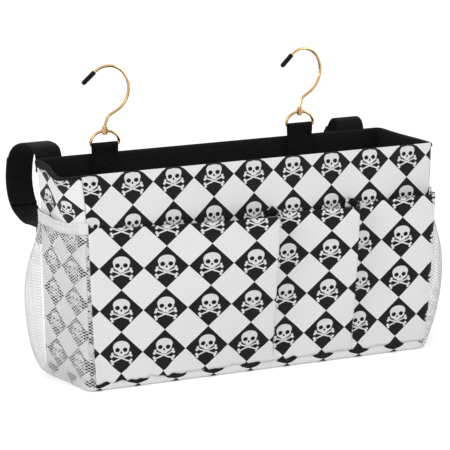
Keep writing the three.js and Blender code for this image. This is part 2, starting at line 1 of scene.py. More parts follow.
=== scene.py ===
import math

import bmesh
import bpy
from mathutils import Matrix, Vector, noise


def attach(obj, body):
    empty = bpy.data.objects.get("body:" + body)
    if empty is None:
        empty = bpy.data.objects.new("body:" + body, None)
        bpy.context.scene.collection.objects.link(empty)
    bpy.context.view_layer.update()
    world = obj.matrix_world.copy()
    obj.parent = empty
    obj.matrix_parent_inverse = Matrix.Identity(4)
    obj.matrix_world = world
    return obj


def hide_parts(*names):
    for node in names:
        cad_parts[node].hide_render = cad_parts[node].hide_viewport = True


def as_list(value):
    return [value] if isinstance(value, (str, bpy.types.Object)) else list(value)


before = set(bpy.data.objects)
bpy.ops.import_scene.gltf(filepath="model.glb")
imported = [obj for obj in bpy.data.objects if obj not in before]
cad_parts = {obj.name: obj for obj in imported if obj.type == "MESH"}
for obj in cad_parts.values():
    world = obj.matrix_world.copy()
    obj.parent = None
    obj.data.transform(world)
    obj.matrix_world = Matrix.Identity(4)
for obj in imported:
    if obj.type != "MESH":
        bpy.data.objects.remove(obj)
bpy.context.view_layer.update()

# %% [markdown]
# # A fabric bedside caddy
#
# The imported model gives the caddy's solids: boxy walls, a front pocket, two net pockets, hooks and
# straps. In this lesson every soft solid is replaced by real cloth, webbing or net, and the metal
# and rubber get their finishes. All lengths below are in millimetres, and one factor turns them
# into Blender's metres when a mesh is finished.

MM = 0.001

# %% [markdown]
# The bag is not a true box. Its walls taper a little towards the base, bow outwards at half height,
# and its soft end walls sag at the rim. One function gives any point of a wall, so that the outer
# cloth, the lining, the pockets and the stitching all follow the same shape. A place is given as a
# share of the way along the wall, a height, and a depth measured inwards from the outer face.

# %% The sizes of the bag
# The base is smaller than the rim by the tapers on each side. SEAM is the base seam's height, and
# GAP keeps neighbouring pieces apart. The lining's faces are given by their depths in the wall.
# Slack cloth waves in dents and finer ripples, with their lengths along the wall and up it in mm.
BAG_WIDTH = 350
BAG_DEPTH = 95
BAG_HEIGHT = 190
END_TAPER = 5
WALL_TAPER = 1.5
CORNER = 7
SEAM = 9
GAP = 0.3
LINING_OUTSIDE = 3.4
LINING_INSIDE = 4.0
QUARTER = math.pi / 2

walls = {
    "front": dict(turn=0, long=True, bow=1.5, rim_bulge=0, rim_sag=0, slack=1.5),
    "right_side": dict(turn=QUARTER, long=False, bow=2, rim_bulge=1, rim_sag=1, slack=1.1),
    "back": dict(turn=2 * QUARTER, long=True, bow=1.5, rim_bulge=0, rim_sag=0, slack=1.0),
    "left_side": dict(turn=3 * QUARTER, long=False, bow=0.6, rim_bulge=10, rim_sag=7, slack=1.1),
}
DRAWN_IN = 0.7
MOUTH_LEVEL = 140
MOUTH_SPREAD = 30
FLARE = 3
FLARE_START = 155
SAG_FADE = 1.4
DENTS = (70, 90)
DENT_SHARE = 0.9
RIPPLES = (26, 75)
RIPPLE_SHARE = 0.45


def left_end_shift(x, height):
    """How far the left end moves to the right, in mm: drawn in at the net's mouth, flared above."""
    end = (min(0, x) / (BAG_WIDTH / 2)) ** 6
    drawn = DRAWN_IN * math.exp(-(((height - MOUTH_LEVEL) / MOUTH_SPREAD) ** 2))
    flare = FLARE * max(0, (height - FLARE_START) / (BAG_HEIGHT - FLARE_START)) ** 2
    return end * (drawn - flare)


def wall_run(wall, height):
    """Half the cloth of a wall at a height: the straight part, and with its half corners."""
    rise = (height - SEAM) / (BAG_HEIGHT - SEAM)
    half_width = BAG_WIDTH / 2 - END_TAPER * (1 - rise)
    half_depth = BAG_DEPTH / 2 - WALL_TAPER * (1 - rise)
    along, out = (half_width, half_depth) if wall["long"] else (half_depth, half_width)
    straight = along - CORNER
    return along, out, straight, straight + CORNER * QUARTER / 2


def wall_point(wall, share, height, depth=0.0):
    """A point of a wall, in mm. share runs from -1 to 1 between the middles of its two corners."""
    along, out, straight, half = wall_run(wall, height)
    run = share * half
    turn = max(0, abs(run) - straight) / CORNER
    bend = CORNER - depth
    x = math.copysign(min(abs(run), straight) + bend * math.sin(turn), run)
    across = max(0, 1 - (x / along) ** 2)
    rise = (height - SEAM) / (BAG_HEIGHT - SEAM)
    held = min(1, max(0, rise))
    # An end wall's rim bulges and sags more towards one corner, at the left end the front one.
    uneven = ((1 + x / along) / SAG_FADE) ** 2
    bulge = wall["bow"] * math.sin(math.pi * held) + wall["rim_bulge"] * uneven * held**2
    y = -(out - CORNER + bend * math.cos(turn) + across**2 * bulge)
    z = height - wall["rim_sag"] * across**2 * uneven * max(0, rise) ** 4
    point = Matrix.Rotation(wall["turn"], 3, "Z") @ Vector((x, y, z))
    point.x += left_end_shift(point.x, height)
    return point


def slack_of(wall, run, height, seed=0):
    """How far soft cloth stands off its flat place, in mm: wide dents and narrower ripples."""
    wide = noise.noise(Vector((run / DENTS[0], height / DENTS[1], seed + wall["turn"])))
    fine = noise.noise(Vector((run / RIPPLES[0], height / RIPPLES[1], seed + 5 + wall["turn"])))
    edge = max(0, 1 - abs(2 * (height - SEAM) / (BAG_HEIGHT - SEAM) - 1) ** 4)
    return wall["slack"] * edge * (DENT_SHARE * wide + RIPPLE_SHARE * fine)


print("half the front's cloth at the rim:", round(wall_run(walls["front"], BAG_HEIGHT)[3], 1), "mm")

# %% [markdown]
# A cloth starts as a flat grid. Each of its loops gets its place on the flat print as a UV in
# millimetres, and then its vertices are laid in place. A Solidify modifier gives it its thickness,
# so the print follows the cloth over every fold, as on the real thing.


# %% Helpers that make a cloth from a flat grid
cuts = {}


def new_object(name, work):
    """Puts the mesh of a bmesh into the scene as a new object."""
    mesh = bpy.data.meshes.new(name)
    work.to_mesh(mesh)
    work.free()
    piece = bpy.data.objects.new(name, mesh)
    bpy.context.scene.collection.objects.link(piece)
    return piece


def finish_piece(name, work, body="bag", thickness=None, offset=-1.0, even=True):
    """Turns a bmesh in millimetres into a finished object in metres that rides on a body."""
    bmesh.ops.scale(work, vec=(MM, MM, MM), verts=work.verts)
    piece = new_object(name, work)
    for face in piece.data.polygons:
        face.use_smooth = True
    if thickness:
        solid = piece.modifiers.new("thickness", "SOLIDIFY")
        solid.thickness = thickness * MM
        solid.offset = offset
        solid.use_even_offset = even
    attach(piece, body)
    print(f"{name}: {len(piece.data.polygons)} faces")
    return piece


def cut_size(place):
    """How wide and how long the flat cloth was, in metres, from its longest ways across and up."""
    steps = [i / 80 for i in range(81)]

    def longest(way):
        lines = ([way(step, line / 8) for step in steps] for line in range(9))
        return max(sum((b - a).length for a, b in zip(line, line[1:])) for line in lines)

    return longest(place) * MM, longest(lambda a, b: place(b, a)) * MM


def flat_grid(columns, rows, print_at, place):
    """A grid of cloth: print_at gives a place on the print in mm, place a point in mm."""
    work = bmesh.new()
    bmesh.ops.create_grid(work, x_segments=columns, y_segments=rows, size=0.5)
    pattern = work.loops.layers.uv.new("print")
    for face in work.faces:
        for loop in face.loops:
            across, up = loop.vert.co.x + 0.5, loop.vert.co.y + 0.5
            loop[pattern].uv = print_at(across, up)
    for vertex in work.verts:
        vertex.co = place(vertex.co.x + 0.5, vertex.co.y + 0.5)
    return work


# %% [markdown]
# The outer cloth of a wall rises from the base seam and rolls in over the rim. The black lining comes
# up inside. On the front wall it stops below the rim, and on the other three it is turned out over
# it, so that they end in a black edge. The rows of both grids are spent where the cloth bends.

# %% The outer cloths and their linings
# A lap is how far the lining comes down outside, at the start and at the end of its wall. Every
# cloth ends just short of the middles of its corners. Behind the pocket the front wall isn't slack.
CLOTH = 0.8
LINING = 0.6
RIM_ROLL = 1.5
HEM_INSIDE = 6
MAIN_ROWS = 48
ROLL_ROWS = 8
LINING_ROWS = 52
FLOOR_TOP = 5
FRONT_LINING_TOP = BAG_HEIGHT - 0.8
LINING_FACE = LINING_OUTSIDE + 0.1
LINING_LAPS = {"front": None, "right_side": (1.5, 1.5), "back": (1, 1), "left_side": (4.5, 0.2)}
LAP_OFF = 0.4
LAP_CHANGE = 1.6
CLOTH_END = 0.9985
LINING_END = 0.9995
LINING_SLACK = 0.9
LINING_FLAT = (340, 185)
CORNER_FADE = 8
FLAT_BELOW = 150


def over_the_rim(row, name):
    """Height and depth of the outer cloth at a row: up the wall, over the rim and down inside."""
    rim = BAG_HEIGHT - RIM_ROLL - (0 if name == "front" else LINING)
    if row <= MAIN_ROWS:
        return SEAM + GAP + (rim - SEAM - GAP) * row / MAIN_ROWS, 0
    turn = math.pi * min(1, (row - MAIN_ROWS) / ROLL_ROWS)
    down = HEM_INSIDE if row > MAIN_ROWS + ROLL_ROWS else 0
    return rim + RIM_ROLL * math.sin(turn) - down, RIM_ROLL * (1 - math.cos(turn))


# The print of each wall: where its lattice starts, and the size of a diamond where it isn't regular.
PRINT_WIDTH = 39.25
PRINT_HEIGHT = 37
wall_prints = {
    "front": dict(start=(-128.05, 179.5)),
    "right_side": dict(start=(8, 165)),
    "back": dict(start=(-3, 172)),
    "left_side": dict(start=(-21, 159.5), size=(44, 27.4), tilt=(0.04, 0)),
}


def on_print(where, run, height):
    """A place on the cloth in mm of print, where one diamond is PRINT_WIDTH by PRINT_HEIGHT."""
    along, up = run - where["start"][0], height - where["start"][1]
    size = where.get("size", (PRINT_WIDTH, PRINT_HEIGHT))
    tilt = where.get("tilt", (0, 0))
    return along * PRINT_WIDTH / size[0] + tilt[0] * up, up * PRINT_HEIGHT / size[1] + tilt[1] * along


def outer_cloth(name):
    wall = walls[name]
    rows = MAIN_ROWS + ROLL_ROWS + 1
    columns = 110 if wall["long"] else 44

    def place(across, up):
        height, depth = over_the_rim(round(up * rows), name)
        share = CLOTH_END * (2 * across - 1)
        half = wall_run(wall, height)[3]
        edge = min(1, (1 - abs(share)) * half / CORNER_FADE)
        slack = slack_of(wall, share * half, height)
        if name == "front" and height < FLAT_BELOW:
            slack = min(slack, 0)
        return wall_point(wall, share, height, depth - edge * slack)

    def print_at(across, up):
        row = round(up * rows)
        height, depth = over_the_rim(row, name)
        past = BAG_HEIGHT + depth if row > MAIN_ROWS else height
        return on_print(wall_prints[name], (2 * across - 1) * wall_run(wall, height)[3], past)

    piece = finish_piece(
        f"{name}_cloth", flat_grid(columns, rows, print_at, place),
        thickness=CLOTH,
    )
    cuts[piece.name] = cut_size(place)
    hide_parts(f"{name}_panel")
    return piece


def lining_path(row, lap):
    """Height and depth of the lining's wall side at a row, and past the rim where it laps out."""
    foot = FLOOR_TOP + GAP
    if lap is None:
        return foot + (FRONT_LINING_TOP - FLOOR_TOP) * row / LINING_ROWS, LINING_FACE
    roll = (LINING_FACE + LAP_OFF) / 2
    rim = BAG_HEIGHT - LINING - roll
    main = LINING_ROWS - ROLL_ROWS - 1
    if row <= main:
        return foot + (rim - foot) * row / main, LINING_FACE
    turn = math.pi * min(1, (row - main) / ROLL_ROWS)
    down = lap if row == LINING_ROWS else 0
    return rim + roll * math.sin(turn) - down, LINING_FACE - roll * (1 - math.cos(turn))


def lining_cloth(name):
    wall = walls[name]
    laps = LINING_LAPS[name]
    columns = 90 if wall["long"] else 40

    def place(across, up):
        lap = laps and laps[0] + (laps[1] - laps[0]) * min(1, LAP_CHANGE * across)
        height, depth = lining_path(round(up * LINING_ROWS), lap)
        share = LINING_END * (2 * across - 1)
        run = share * wall_run(wall, height)[3]
        lift = LINING_SLACK * slack_of(wall, run, height, seed=11)
        return wall_point(wall, share, height, depth + max(0, lift))

    def print_at(across, up):
        return across * LINING_FLAT[0], up * LINING_FLAT[1]

    piece = finish_piece(
        f"{name}_lining_cloth", flat_grid(columns, LINING_ROWS, print_at, place),
        thickness=LINING,
    )
    cuts[piece.name] = cut_size(place)
    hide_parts(f"{name}_lining")
    return piece


outer_cloths = {name: outer_cloth(name) for name in walls}
linings = {name: lining_cloth(name) for name in walls}

# %% [markdown]
# The base is a separate piece of the same print. It is a shallow dish: flat underneath, with a rounded
# edge up to the seam. A box is bevelled for its corners and then for its lower edge, and its top is
# opened. The seam is gathered a little by its thread, so the cloth on both sides of it puckers.

# %% The base cloth and the floor lining
BASE_ROLL = 2.5
SEAM_FALL = 1.6
GATHER = 7.5
PUCKER = 0.9
SWELL = 0.5
SEAM_LIFT = 0.4
UNDERSIDE = 0.02
SLIVER = 0.02
SEAM_WAVES = ((2.6, GATHER, 51), (0.8, 19, 57))
TIP = 9
TIP_SPREAD = 11.5
TIP_DEPTH = 5.6
FLOOR_SINK = 0.2
FLOOR_DENT = 0.35
FLOOR_CORNER = 4
BASE_DIAMOND = 37
base_print = dict(start=(-12, SEAM + BASE_DIAMOND / 2 - TIP), size=(BASE_DIAMOND, BASE_DIAMOND))


def seam_wave(run):
    """How far the gathered seam strays from a straight line, in mm, at a place along it."""
    return sum(
        height * noise.noise(Vector((run / length, 0, seed))) for height, length, seed in SEAM_WAVES
    )


def seam_fall(run):
    """The seam hangs lower towards the left end."""
    return -SEAM_FALL * (0.5 - run / BAG_WIDTH)


def gathered(run, drop):
    """
    Where the print lies below the seam, in mm. The tips of the black diamonds, TIP long and wide to
    each side, are pulled to TIP_SPREAD by the gathers between them, and the roll shortens them.
    """
    share = min(1, max(0, drop) / TIP_DEPTH)
    down = TIP * (1 - math.sqrt(1 - share * share)) + max(0, drop - TIP_DEPTH)
    half = BASE_DIAMOND / 2
    centre = base_print["start"][0]
    off = (run - centre + half) % BASE_DIAMOND - half
    if abs(off) < TIP_SPREAD:
        print_off = abs(off) * TIP / TIP_SPREAD
    else:
        print_off = TIP + (abs(off) - TIP_SPREAD) * (half - TIP) / (half - TIP_SPREAD)
    return run - off + math.copysign(print_off, off), SEAM - down


def base_dish(width, depth):
    """An open box with round corners and a round lower edge, finely cut along its sides."""
    work = bmesh.new()
    bmesh.ops.create_cube(work, size=1)
    bmesh.ops.scale(work, vec=(width, depth, SEAM), verts=work.verts)
    bmesh.ops.translate(work, vec=(0, 0, SEAM / 2), verts=work.verts)
    posts = [edge for edge in work.edges if abs(edge.verts[0].co.z - edge.verts[1].co.z) > SEAM / 2]
    bmesh.ops.bevel(
        work, geom=posts, offset=CORNER, affect="EDGES", segments=8, profile=0.5, material=-1
    )
    under = [edge for edge in work.edges if all(vertex.co.z < SEAM / 4 for vertex in edge.verts)]
    bmesh.ops.bevel(
        work, geom=under, offset=BASE_ROLL, affect="EDGES", segments=8, profile=0.5, material=-1
    )
    lid = [face for face in work.faces if face.normal.z > 0.9]
    bmesh.ops.delete(work, geom=lid, context="FACES")
    bmesh.ops.recalc_face_normals(work, faces=work.faces)
    # Only the sides are cut finely. Cuts across the flat underside would leave long thin triangles.
    for axis, reach, slices in (
        ((1, 0, 0), width, 230), ((0, 1, 0), depth, 30), ((0, 0, 1), 2 * SEAM, 14),
    ):
        for cut in range(1, slices):
            sides = [face for face in work.faces if face.calc_center_median().z > UNDERSIDE]
            edges = {edge for face in sides for edge in face.edges}
            ends = {vertex for edge in edges for vertex in edge.verts}
            bmesh.ops.bisect_plane(
                work, geom=[*ends, *edges, *sides],
                plane_co=Vector(axis) * (cut / slices - 0.5) * reach, plane_no=axis,
            )
    return work


def print_base(work, width, depth):
    """Lays the print flat underneath, and up the sides as the gathers pull it."""
    pattern = work.loops.layers.uv.new("print")
    for face in work.faces:
        along_x = abs(face.normal.y) >= abs(face.normal.x)
        flat = face.calc_center_median().z < UNDERSIDE
        for loop in face.loops:
            point = loop.vert.co
            if flat:
                loop[pattern].uv = on_print(base_print, point.x, point.y)
                continue
            inset = depth / 2 - abs(point.y) if along_x else width / 2 - abs(point.x)
            turn = math.asin(min(1, max(0, (BASE_ROLL - point.z) / BASE_ROLL)))
            level = max(point.z, BASE_ROLL) - BASE_ROLL * turn - max(0, inset - BASE_ROLL)
            run = point.x if along_x else point.y
            loop[pattern].uv = on_print(base_print, *gathered(run, SEAM - level))


def pucker_base(work, depth):
    """Puckers the sides, and lets the front edge follow the seam. The underside stays flat."""
    for vertex in work.verts:
        x, y, z = vertex.co
        if z < 0.5:
            continue
        on_long_side = abs(y) > depth / 2 - BASE_ROLL - 1
        run = x if on_long_side else y
        middle = math.sin(math.pi * min(1, z / SEAM))
        pucker = PUCKER * middle * noise.noise(Vector((run / GATHER, z / 14, 61)))
        out = (0, math.copysign(1, y), 0) if on_long_side else (math.copysign(1, x), 0, 0)
        vertex.co += Vector(out) * (pucker + SWELL * middle)
        if on_long_side and y < 0:
            vertex.co.z += (seam_wave(run) + seam_fall(run) + SEAM_LIFT) * (z / SEAM) ** 2


def base_cloth():
    width, depth = BAG_WIDTH - 2 * END_TAPER, BAG_DEPTH - 2 * WALL_TAPER
    work = base_dish(width, depth)
    print_base(work, width, depth)
    pucker_base(work, depth)
    # The cuts leave slivers at the corners, which would throw the thickness out.
    bmesh.ops.dissolve_degenerate(work, dist=SLIVER, edges=work.edges)
    piece = finish_piece("base_cloth", work, thickness=CLOTH, even=False)
    cuts[piece.name] = ((width + 2 * SEAM) * MM, (depth + 2 * SEAM) * MM)
    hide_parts("base_panel")
    return piece


def floor_lining():
    work = bmesh.new()
    bmesh.ops.create_grid(work, x_segments=60, y_segments=20, size=0.5)
    half_width, half_depth = (
        BAG_WIDTH / 2 - END_TAPER - LINING_OUTSIDE, BAG_DEPTH / 2 - WALL_TAPER - LINING_OUTSIDE,
    )
    for vertex in work.verts:
        x, y = vertex.co.x * 2, vertex.co.y * 2
        dent = FLOOR_DENT * noise.noise(Vector((x * 4, y * 2, 3)))
        vertex.co = Vector((x * half_width, y * half_depth, FLOOR_TOP - FLOOR_SINK + min(0, dent)))
    pattern = work.loops.layers.uv.new("print")
    for face in work.faces:
        for loop in face.loops:
            loop[pattern].uv = loop.vert.co.xy
    tips = [vertex for vertex in work.verts if vertex.is_boundary and len(vertex.link_edges) == 2]
    bmesh.ops.bevel(
        work, geom=tips, offset=FLOOR_CORNER, affect="VERTICES", segments=3, profile=0.5, material=-1
    )
    piece = finish_piece("floor_lining_cloth", work, thickness=LINING)
    cuts[piece.name] = (2 * half_width * MM, 2 * half_depth * MM)
    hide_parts("base_lining")
    return piece


base = base_cloth()
floor = floor_lining()

# %% [markdown]
# The front pocket is one more sheet of the print over the lower part of the front wall. It is sewn
# down at both ends, at two seams and along the base, and it is wider than what it covers, so each
# compartment stands out. The cloth rises slowly from left to right and folds back sharply at each
# seam. One function gives how far it stands off the wall, and one its upper edge.

# %% The front pocket
# A compartment's fold is how wide its cloth folds back at the base and at the mouth, in mm. The
# places and sizes of the prints were found for each compartment, because each hangs differently. At
# its left end the print is pulled up a little, and a crease crosses the lower left corner.
SEAM_PLACES = (-1.0, 0.0755, 0.5475, 1.0)
POCKET_TOPS = (141.6, 141, 141.5, 145.5)
LEFT_END_LIFT = 3.9
compartments = (
    dict(puff=14, fold=(2.5, 8), fullness=1.1),
    dict(puff=10.5, fold=(3.5, 4), fullness=0.7),
    dict(puff=10, fold=(3, 6), fullness=0.7),
)
pocket_prints = (
    dict(start=(-139.6, 105.4), size=(41.6, 37.26), tilt=(0.01, 0.0195)),
    dict(start=(24.1, 102.2), size=(39.2, 36.5), tilt=(-0.0157, -0.0357)),
    dict(start=(100.1, 106), size=(37.7, 36.9), tilt=(-0.0127, -0.0535)),
)
POCKET_ROWS = 60
POCKET_COLUMNS = 300
SEAM_LEAN_SHARE = 0.0175
POCKET_LEFT = -0.989
POCKET_LEFT_LEAN = 0.02
EDGE_PULL = 4
PULL_START = -172
PULL_FADE = 25
POCKET_PUCKER = 1.1
CREASE_RUN = -160
CREASE_LEAN = 6
CREASE_WIDTH = 3
CREASE_HEIGHT = 20
CREASE_REACH = 14


def compartment_at(share):
    """The compartment of a place on the pocket, and how far across it that place is, 0 to 1."""
    home = max(i for i in range(3) if share >= SEAM_PLACES[i] or i == 0)
    start, end = SEAM_PLACES[home], SEAM_PLACES[home + 1]
    return home, min(1, max(0, (share - start) / (end - start))), (end - start) * BAG_WIDTH / 2


def pocket_top(share):
    home, across, _ = compartment_at(share)
    lift = LEFT_END_LIFT * math.exp(-9 * across) if home == 0 else 0
    return POCKET_TOPS[home] + across * (POCKET_TOPS[home + 1] - POCKET_TOPS[home]) + lift


def pocket_puff(share, up):
    """How far the pocket stands off the wall, in mm: a slow rise, then a sharp fold back."""
    home, across, width = compartment_at(share)
    part = compartments[home]
    full = math.sin(QUARTER * min(1, up)) ** part["fullness"]
    low_fold, high_fold = part["fold"]
    peak = 1 - (low_fold + (high_fold - low_fold) * full) / width
    if across < peak:
        rise = math.sin(QUARTER * across / peak) ** 2
    else:
        rise = 1 - ((across - peak) / (1 - peak)) ** 2
    return part["puff"] * rise * full


def pocket_height(share, run, up):
    bottom = SEAM - GAP + seam_fall(run)
    return bottom + up * (pocket_top(share) - bottom)


def pocket_point(share, up, off=0.0):
    """A point of the pocket's inner face, in mm, with off added outwards."""
    puff = pocket_puff(share, up)
    run = share * wall_run(walls["front"], SEAM)[3]
    height = pocket_height(share, run, up) + seam_wave(run) * (1 - up) ** 8
    lean = SEAM_LEAN_SHARE * (1 - up) * max(0, 1 - share * share)
    held = min(1, puff / 4)
    slack = held * (slack_of(walls["front"], run, height, seed=23) + 0.5)
    pucker = POCKET_PUCKER * (1 - up) ** 6 * noise.noise(Vector((run / GATHER, height / 16, 67)))
    # One crease leans over the lower left corner.
    beside = (run - CREASE_RUN + height / CREASE_LEAN) / CREASE_WIDTH
    above = (height - CREASE_HEIGHT) / CREASE_REACH
    off += max(0, pucker) + math.exp(-beside * beside) * math.exp(-above * above)
    return wall_point(walls["front"], share - lean, height, -(GAP + puff + slack + off))


def front_pocket():
    def share_at(across, up):
        left = POCKET_LEFT + POCKET_LEFT_LEAN * (1 - up)
        return left + (CLOTH_END - left) * across

    def print_at(across, up):
        share = share_at(across, up)
        height = pocket_height(share, share * wall_run(walls["front"], SEAM)[3], up)
        run = share * wall_run(walls["front"], height)[3]
        home = compartment_at(share)[0]
        pulled = EDGE_PULL * math.exp(-(run - PULL_START) / PULL_FADE) if home == 0 else 0
        return on_print(pocket_prints[home], run, height - pulled)

    def place(across, up):
        return pocket_point(share_at(across, up), up, CLOTH)

    piece = finish_piece(
        "front_pocket_cloth", flat_grid(POCKET_COLUMNS, POCKET_ROWS, print_at, place),
        thickness=CLOTH,
    )
    cuts[piece.name] = cut_size(place)
    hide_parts("front_pocket")
    return piece


pocket = front_pocket()

# %% [markdown]
# Where a seam ends at the pocket's mouth, the corner of the folded hem stands up behind the ridge.
# It is a scrap of the same sheet, so it carries the print too.

# %% The hem corners at the ends of the seams
HEM_WIDTH = 15
HEM_HEIGHT = 9.5
HEM_SLOPE = 4.5
HEM_PEAK = -0.35
HEM_OFF = 1.0
HEM_BULGE = 1.6
hem_corners = (
    dict(name="first_hem_corner", run=10, low=138.5, print_start=(6.5, 153.5)),
    dict(name="second_hem_corner", run=89.5, low=139.5, print_start=(92, 155)),
)


def hem_corner(spot):
    def place(across, up):
        side = 2 * across - 1
        run = spot["run"] + side * HEM_WIDTH / 2
        height = spot["low"] + up * (HEM_HEIGHT - HEM_SLOPE * abs(side - HEM_PEAK))
        share = run / wall_run(walls["front"], height)[3]
        off = HEM_OFF + HEM_BULGE * (1 - side * side) * up
        return wall_point(walls["front"], share, height, -off)

    def print_at(across, up):
        where = dict(start=spot["print_start"])
        return on_print(where, spot["run"] + (across - 0.5) * HEM_WIDTH, spot["low"] + up * HEM_HEIGHT)

    return finish_piece(
        spot["name"], flat_grid(14, 8, print_at, place), thickness=CLOTH
    )


hem_pieces = [hem_corner(spot) for spot in hem_corners]

# %% [markdown]
# Each net pocket is a knitted mesh, gathered into the base seam and drawn in at its mouth by a band
# of elastic. A grid is laid in the bulging shape. Every square is poked to its middle and its own
# edges are dissolved, which leaves diamonds. Each diamond is inset and its middle deleted, and what
# is left is a net of thin threads with true holes. The real holes are about 1.5 mm, and they are
# drawn 2.7 mm high and 4.5 mm wide so that they show.

# %% The net pockets and their elastic
# NET_BACK and NET_FRONT are where a net ends on its wall, as shares: it wraps the front corner.
NET_FOOT = 1
NET_TOP = 136.8
NET_WIDEST = 66
NET_MOUTH = 4
NET_BACK = 0.985
NET_FRONT = 1.11
NET_NARROWING = 0.065
NET_COLUMNS = 21
NET_ROWS = 50
NET_THREAD = 0.32
NET_OFF = 0.9
NET_FOLD = 2.6
NET_CREASE = 1.5
NET_GATHER = 1.3
NET_FLAT = (130, 160)
ELASTIC_OFF = 1.4
ELASTIC_RUFFLE = 0.6
ELASTIC_EDGE = 0.5
ELASTIC_LENGTH = 110
ELASTIC_HEIGHT = 10.2
MOUTH_SAG = 1.5
MOUTH_FALL = 1.6
net_bulges = {"left": 29, "right": 33}
net_seeds = {"left": 31, "right": 47}


def net_point(side, share, height, off=0.0):
    bulge = net_bulges[side]
    if height < NET_WIDEST:
        reach = math.sqrt(max(0, 1 - ((NET_WIDEST - height) / (NET_WIDEST - NET_FOOT)) ** 2))
    else:
        reach = 1 - (1 - NET_MOUTH / bulge) * ((height - NET_WIDEST) / (NET_TOP - NET_WIDEST)) ** 2
    swell = max(bulge * reach, NET_MOUTH if height > NET_TOP else 0)
    back = share if side == "right" else -share
    # The left net lies close to the wall in front, and stands out behind.
    behind = 1 if side == "right" else min(1, max(0, (back + 0.75) / 1.25)) ** 1.5
    out = swell * max(0, 1 - abs(share) ** 3) * (behind + (1 - behind) * NET_MOUTH / bulge)
    sag = (MOUTH_SAG * (1 - share**2) + MOUTH_FALL * back) * min(1, height / NET_TOP) ** 6
    return wall_point(walls[f"{side}_side"], share, height - sag, -(GAP + out + off))


def net_share(side, across, height):
    """Where the net is on its wall, as a share."""
    front = NET_FRONT - NET_NARROWING * min(1, height / NET_TOP)
    start = -NET_BACK if side == "left" else -front
    return start + (NET_BACK + front) * across


def net_fold(side, share, height):
    """Soft folds that hang from the gathered mouth, with a crease here and there, in mm."""
    seed = net_seeds[side]
    loose = min(1, max(0, 4 * (1 - abs(share))))
    wide = noise.noise(Vector((share * 3.4, height / 300, seed)))
    line = noise.noise(Vector((share * 2.6 + height / 400, height / 500, seed + 9)))
    crease = max(0, 1 - 14 * abs(line))
    gathers = noise.noise(Vector((share * 17, height / 90, seed + 3)))
    drawn = math.exp(-(NET_TOP - height) / 16) + math.exp(-(height - SEAM) / 9)
    return loose * (NET_FOLD * wide + NET_CREASE * crease + NET_GATHER * gathers * min(1, drawn))


def net_pocket(side):
    def place(across, up):
        height = NET_FOOT + up * (NET_TOP - NET_FOOT)
        share = net_share(side, across, height)
        return net_point(side, share, height, NET_OFF + net_fold(side, share, height))

    def print_at(across, up):
        return across * NET_FLAT[0], up * NET_FLAT[1]

    work = flat_grid(NET_COLUMNS, NET_ROWS, print_at, place)
    squares = [edge for edge in work.edges if not edge.is_boundary]
    bmesh.ops.poke(work, faces=work.faces[:])
    bmesh.ops.dissolve_edges(work, edges=squares, use_verts=False)
    made = bmesh.ops.inset_individual(
        work, faces=work.faces[:], thickness=NET_THREAD, use_even_offset=False
    )
    rims = set(made["faces"])
    holes = [face for face in work.faces if face not in rims]
    print(side, "net:", len(holes), "holes")
    bmesh.ops.delete(work, geom=holes, context="FACES")
    piece = finish_piece(f"{side}_net", work, thickness=NET_THREAD, offset=0, even=False)
    cuts[piece.name] = cut_size(place)
    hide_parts(f"{side}_net_pocket")
    return piece


def elastic_point(side, share, up, off=0.0):
    """A point of the ruffled band, in mm. up is the share of its height, and off adds outwards."""
    height = NET_TOP + GAP + up * ELASTIC_HEIGHT
    ruffle = noise.noise(Vector((share * 26, height / 30, net_seeds[side] + 5)))
    edge = ELASTIC_EDGE * noise.noise(Vector((share * 14, up, net_seeds[side] + 6)))
    stand = ELASTIC_OFF + ELASTIC_RUFFLE * ruffle + 0.5 * net_fold(side, share, NET_TOP) + off
    return net_point(side, share, height + edge, stand)


def elastic_band(side):
    def place(across, up):
        return elastic_point(side, net_share(side, across, NET_TOP), up)

    def print_at(across, up):
        return across * ELASTIC_LENGTH, up * ELASTIC_HEIGHT

    work = flat_grid(120, 14, print_at, place)
    piece = finish_piece(f"{side}_elastic", work, thickness=1.0)
    cuts[piece.name] = cut_size(place)
    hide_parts(f"{side}_pocket_elastic")
    return piece


nets = {side: net_pocket(side) for side in net_bulges}
elastics = {side: elastic_band(side) for side in net_bulges}

# %% [markdown]
# The rings hang from webbing tabs that are sewn to the back wall's lining, and two hook-and-loop
# straps curl behind the bag. A band of webbing could be a curve with a flat profile, but a profile
# twists where the path turns. Here a flat grid is bent along the path, then thickened, and its long
# edges are bevelled.

# %% Webbing along a path
WEBBING = 25
WEBBING_THICKNESS = 1.2
WEBBING_EDGE = 0.35
STRAP_THICKNESS = 1.5


def walk(points, count):
    """Evenly spaced points on a smooth line through points in the YZ plane: a Catmull-Rom spline."""
    smooth = []
    for i in range(len(points) - 1):
        before = points[max(0, i - 1)]
        start, end = points[i], points[i + 1]
        after = points[min(len(points) - 1, i + 2)]
        for step in range(8):
            t = step / 8
            smooth.append(0.5 * (
                2 * start + (end - before) * t + (2 * before - 5 * start + 4 * end - after) * t * t
                + (3 * start - before - 3 * end + after) * t**3
            ))
    smooth.append(points[-1])
    lengths = [0]
    for a, b in zip(smooth, smooth[1:]):
        lengths.append(lengths[-1] + (b - a).length)
    spots = []
    at = 0
    for i in range(count + 1):
        want = lengths[-1] * i / count
        while at < len(lengths) - 2 and lengths[at + 1] < want:
            at += 1
        span = max(1e-9, lengths[at + 1] - lengths[at])
        spots.append(smooth[at].lerp(smooth[at + 1], (want - lengths[at]) / span))
    return spots


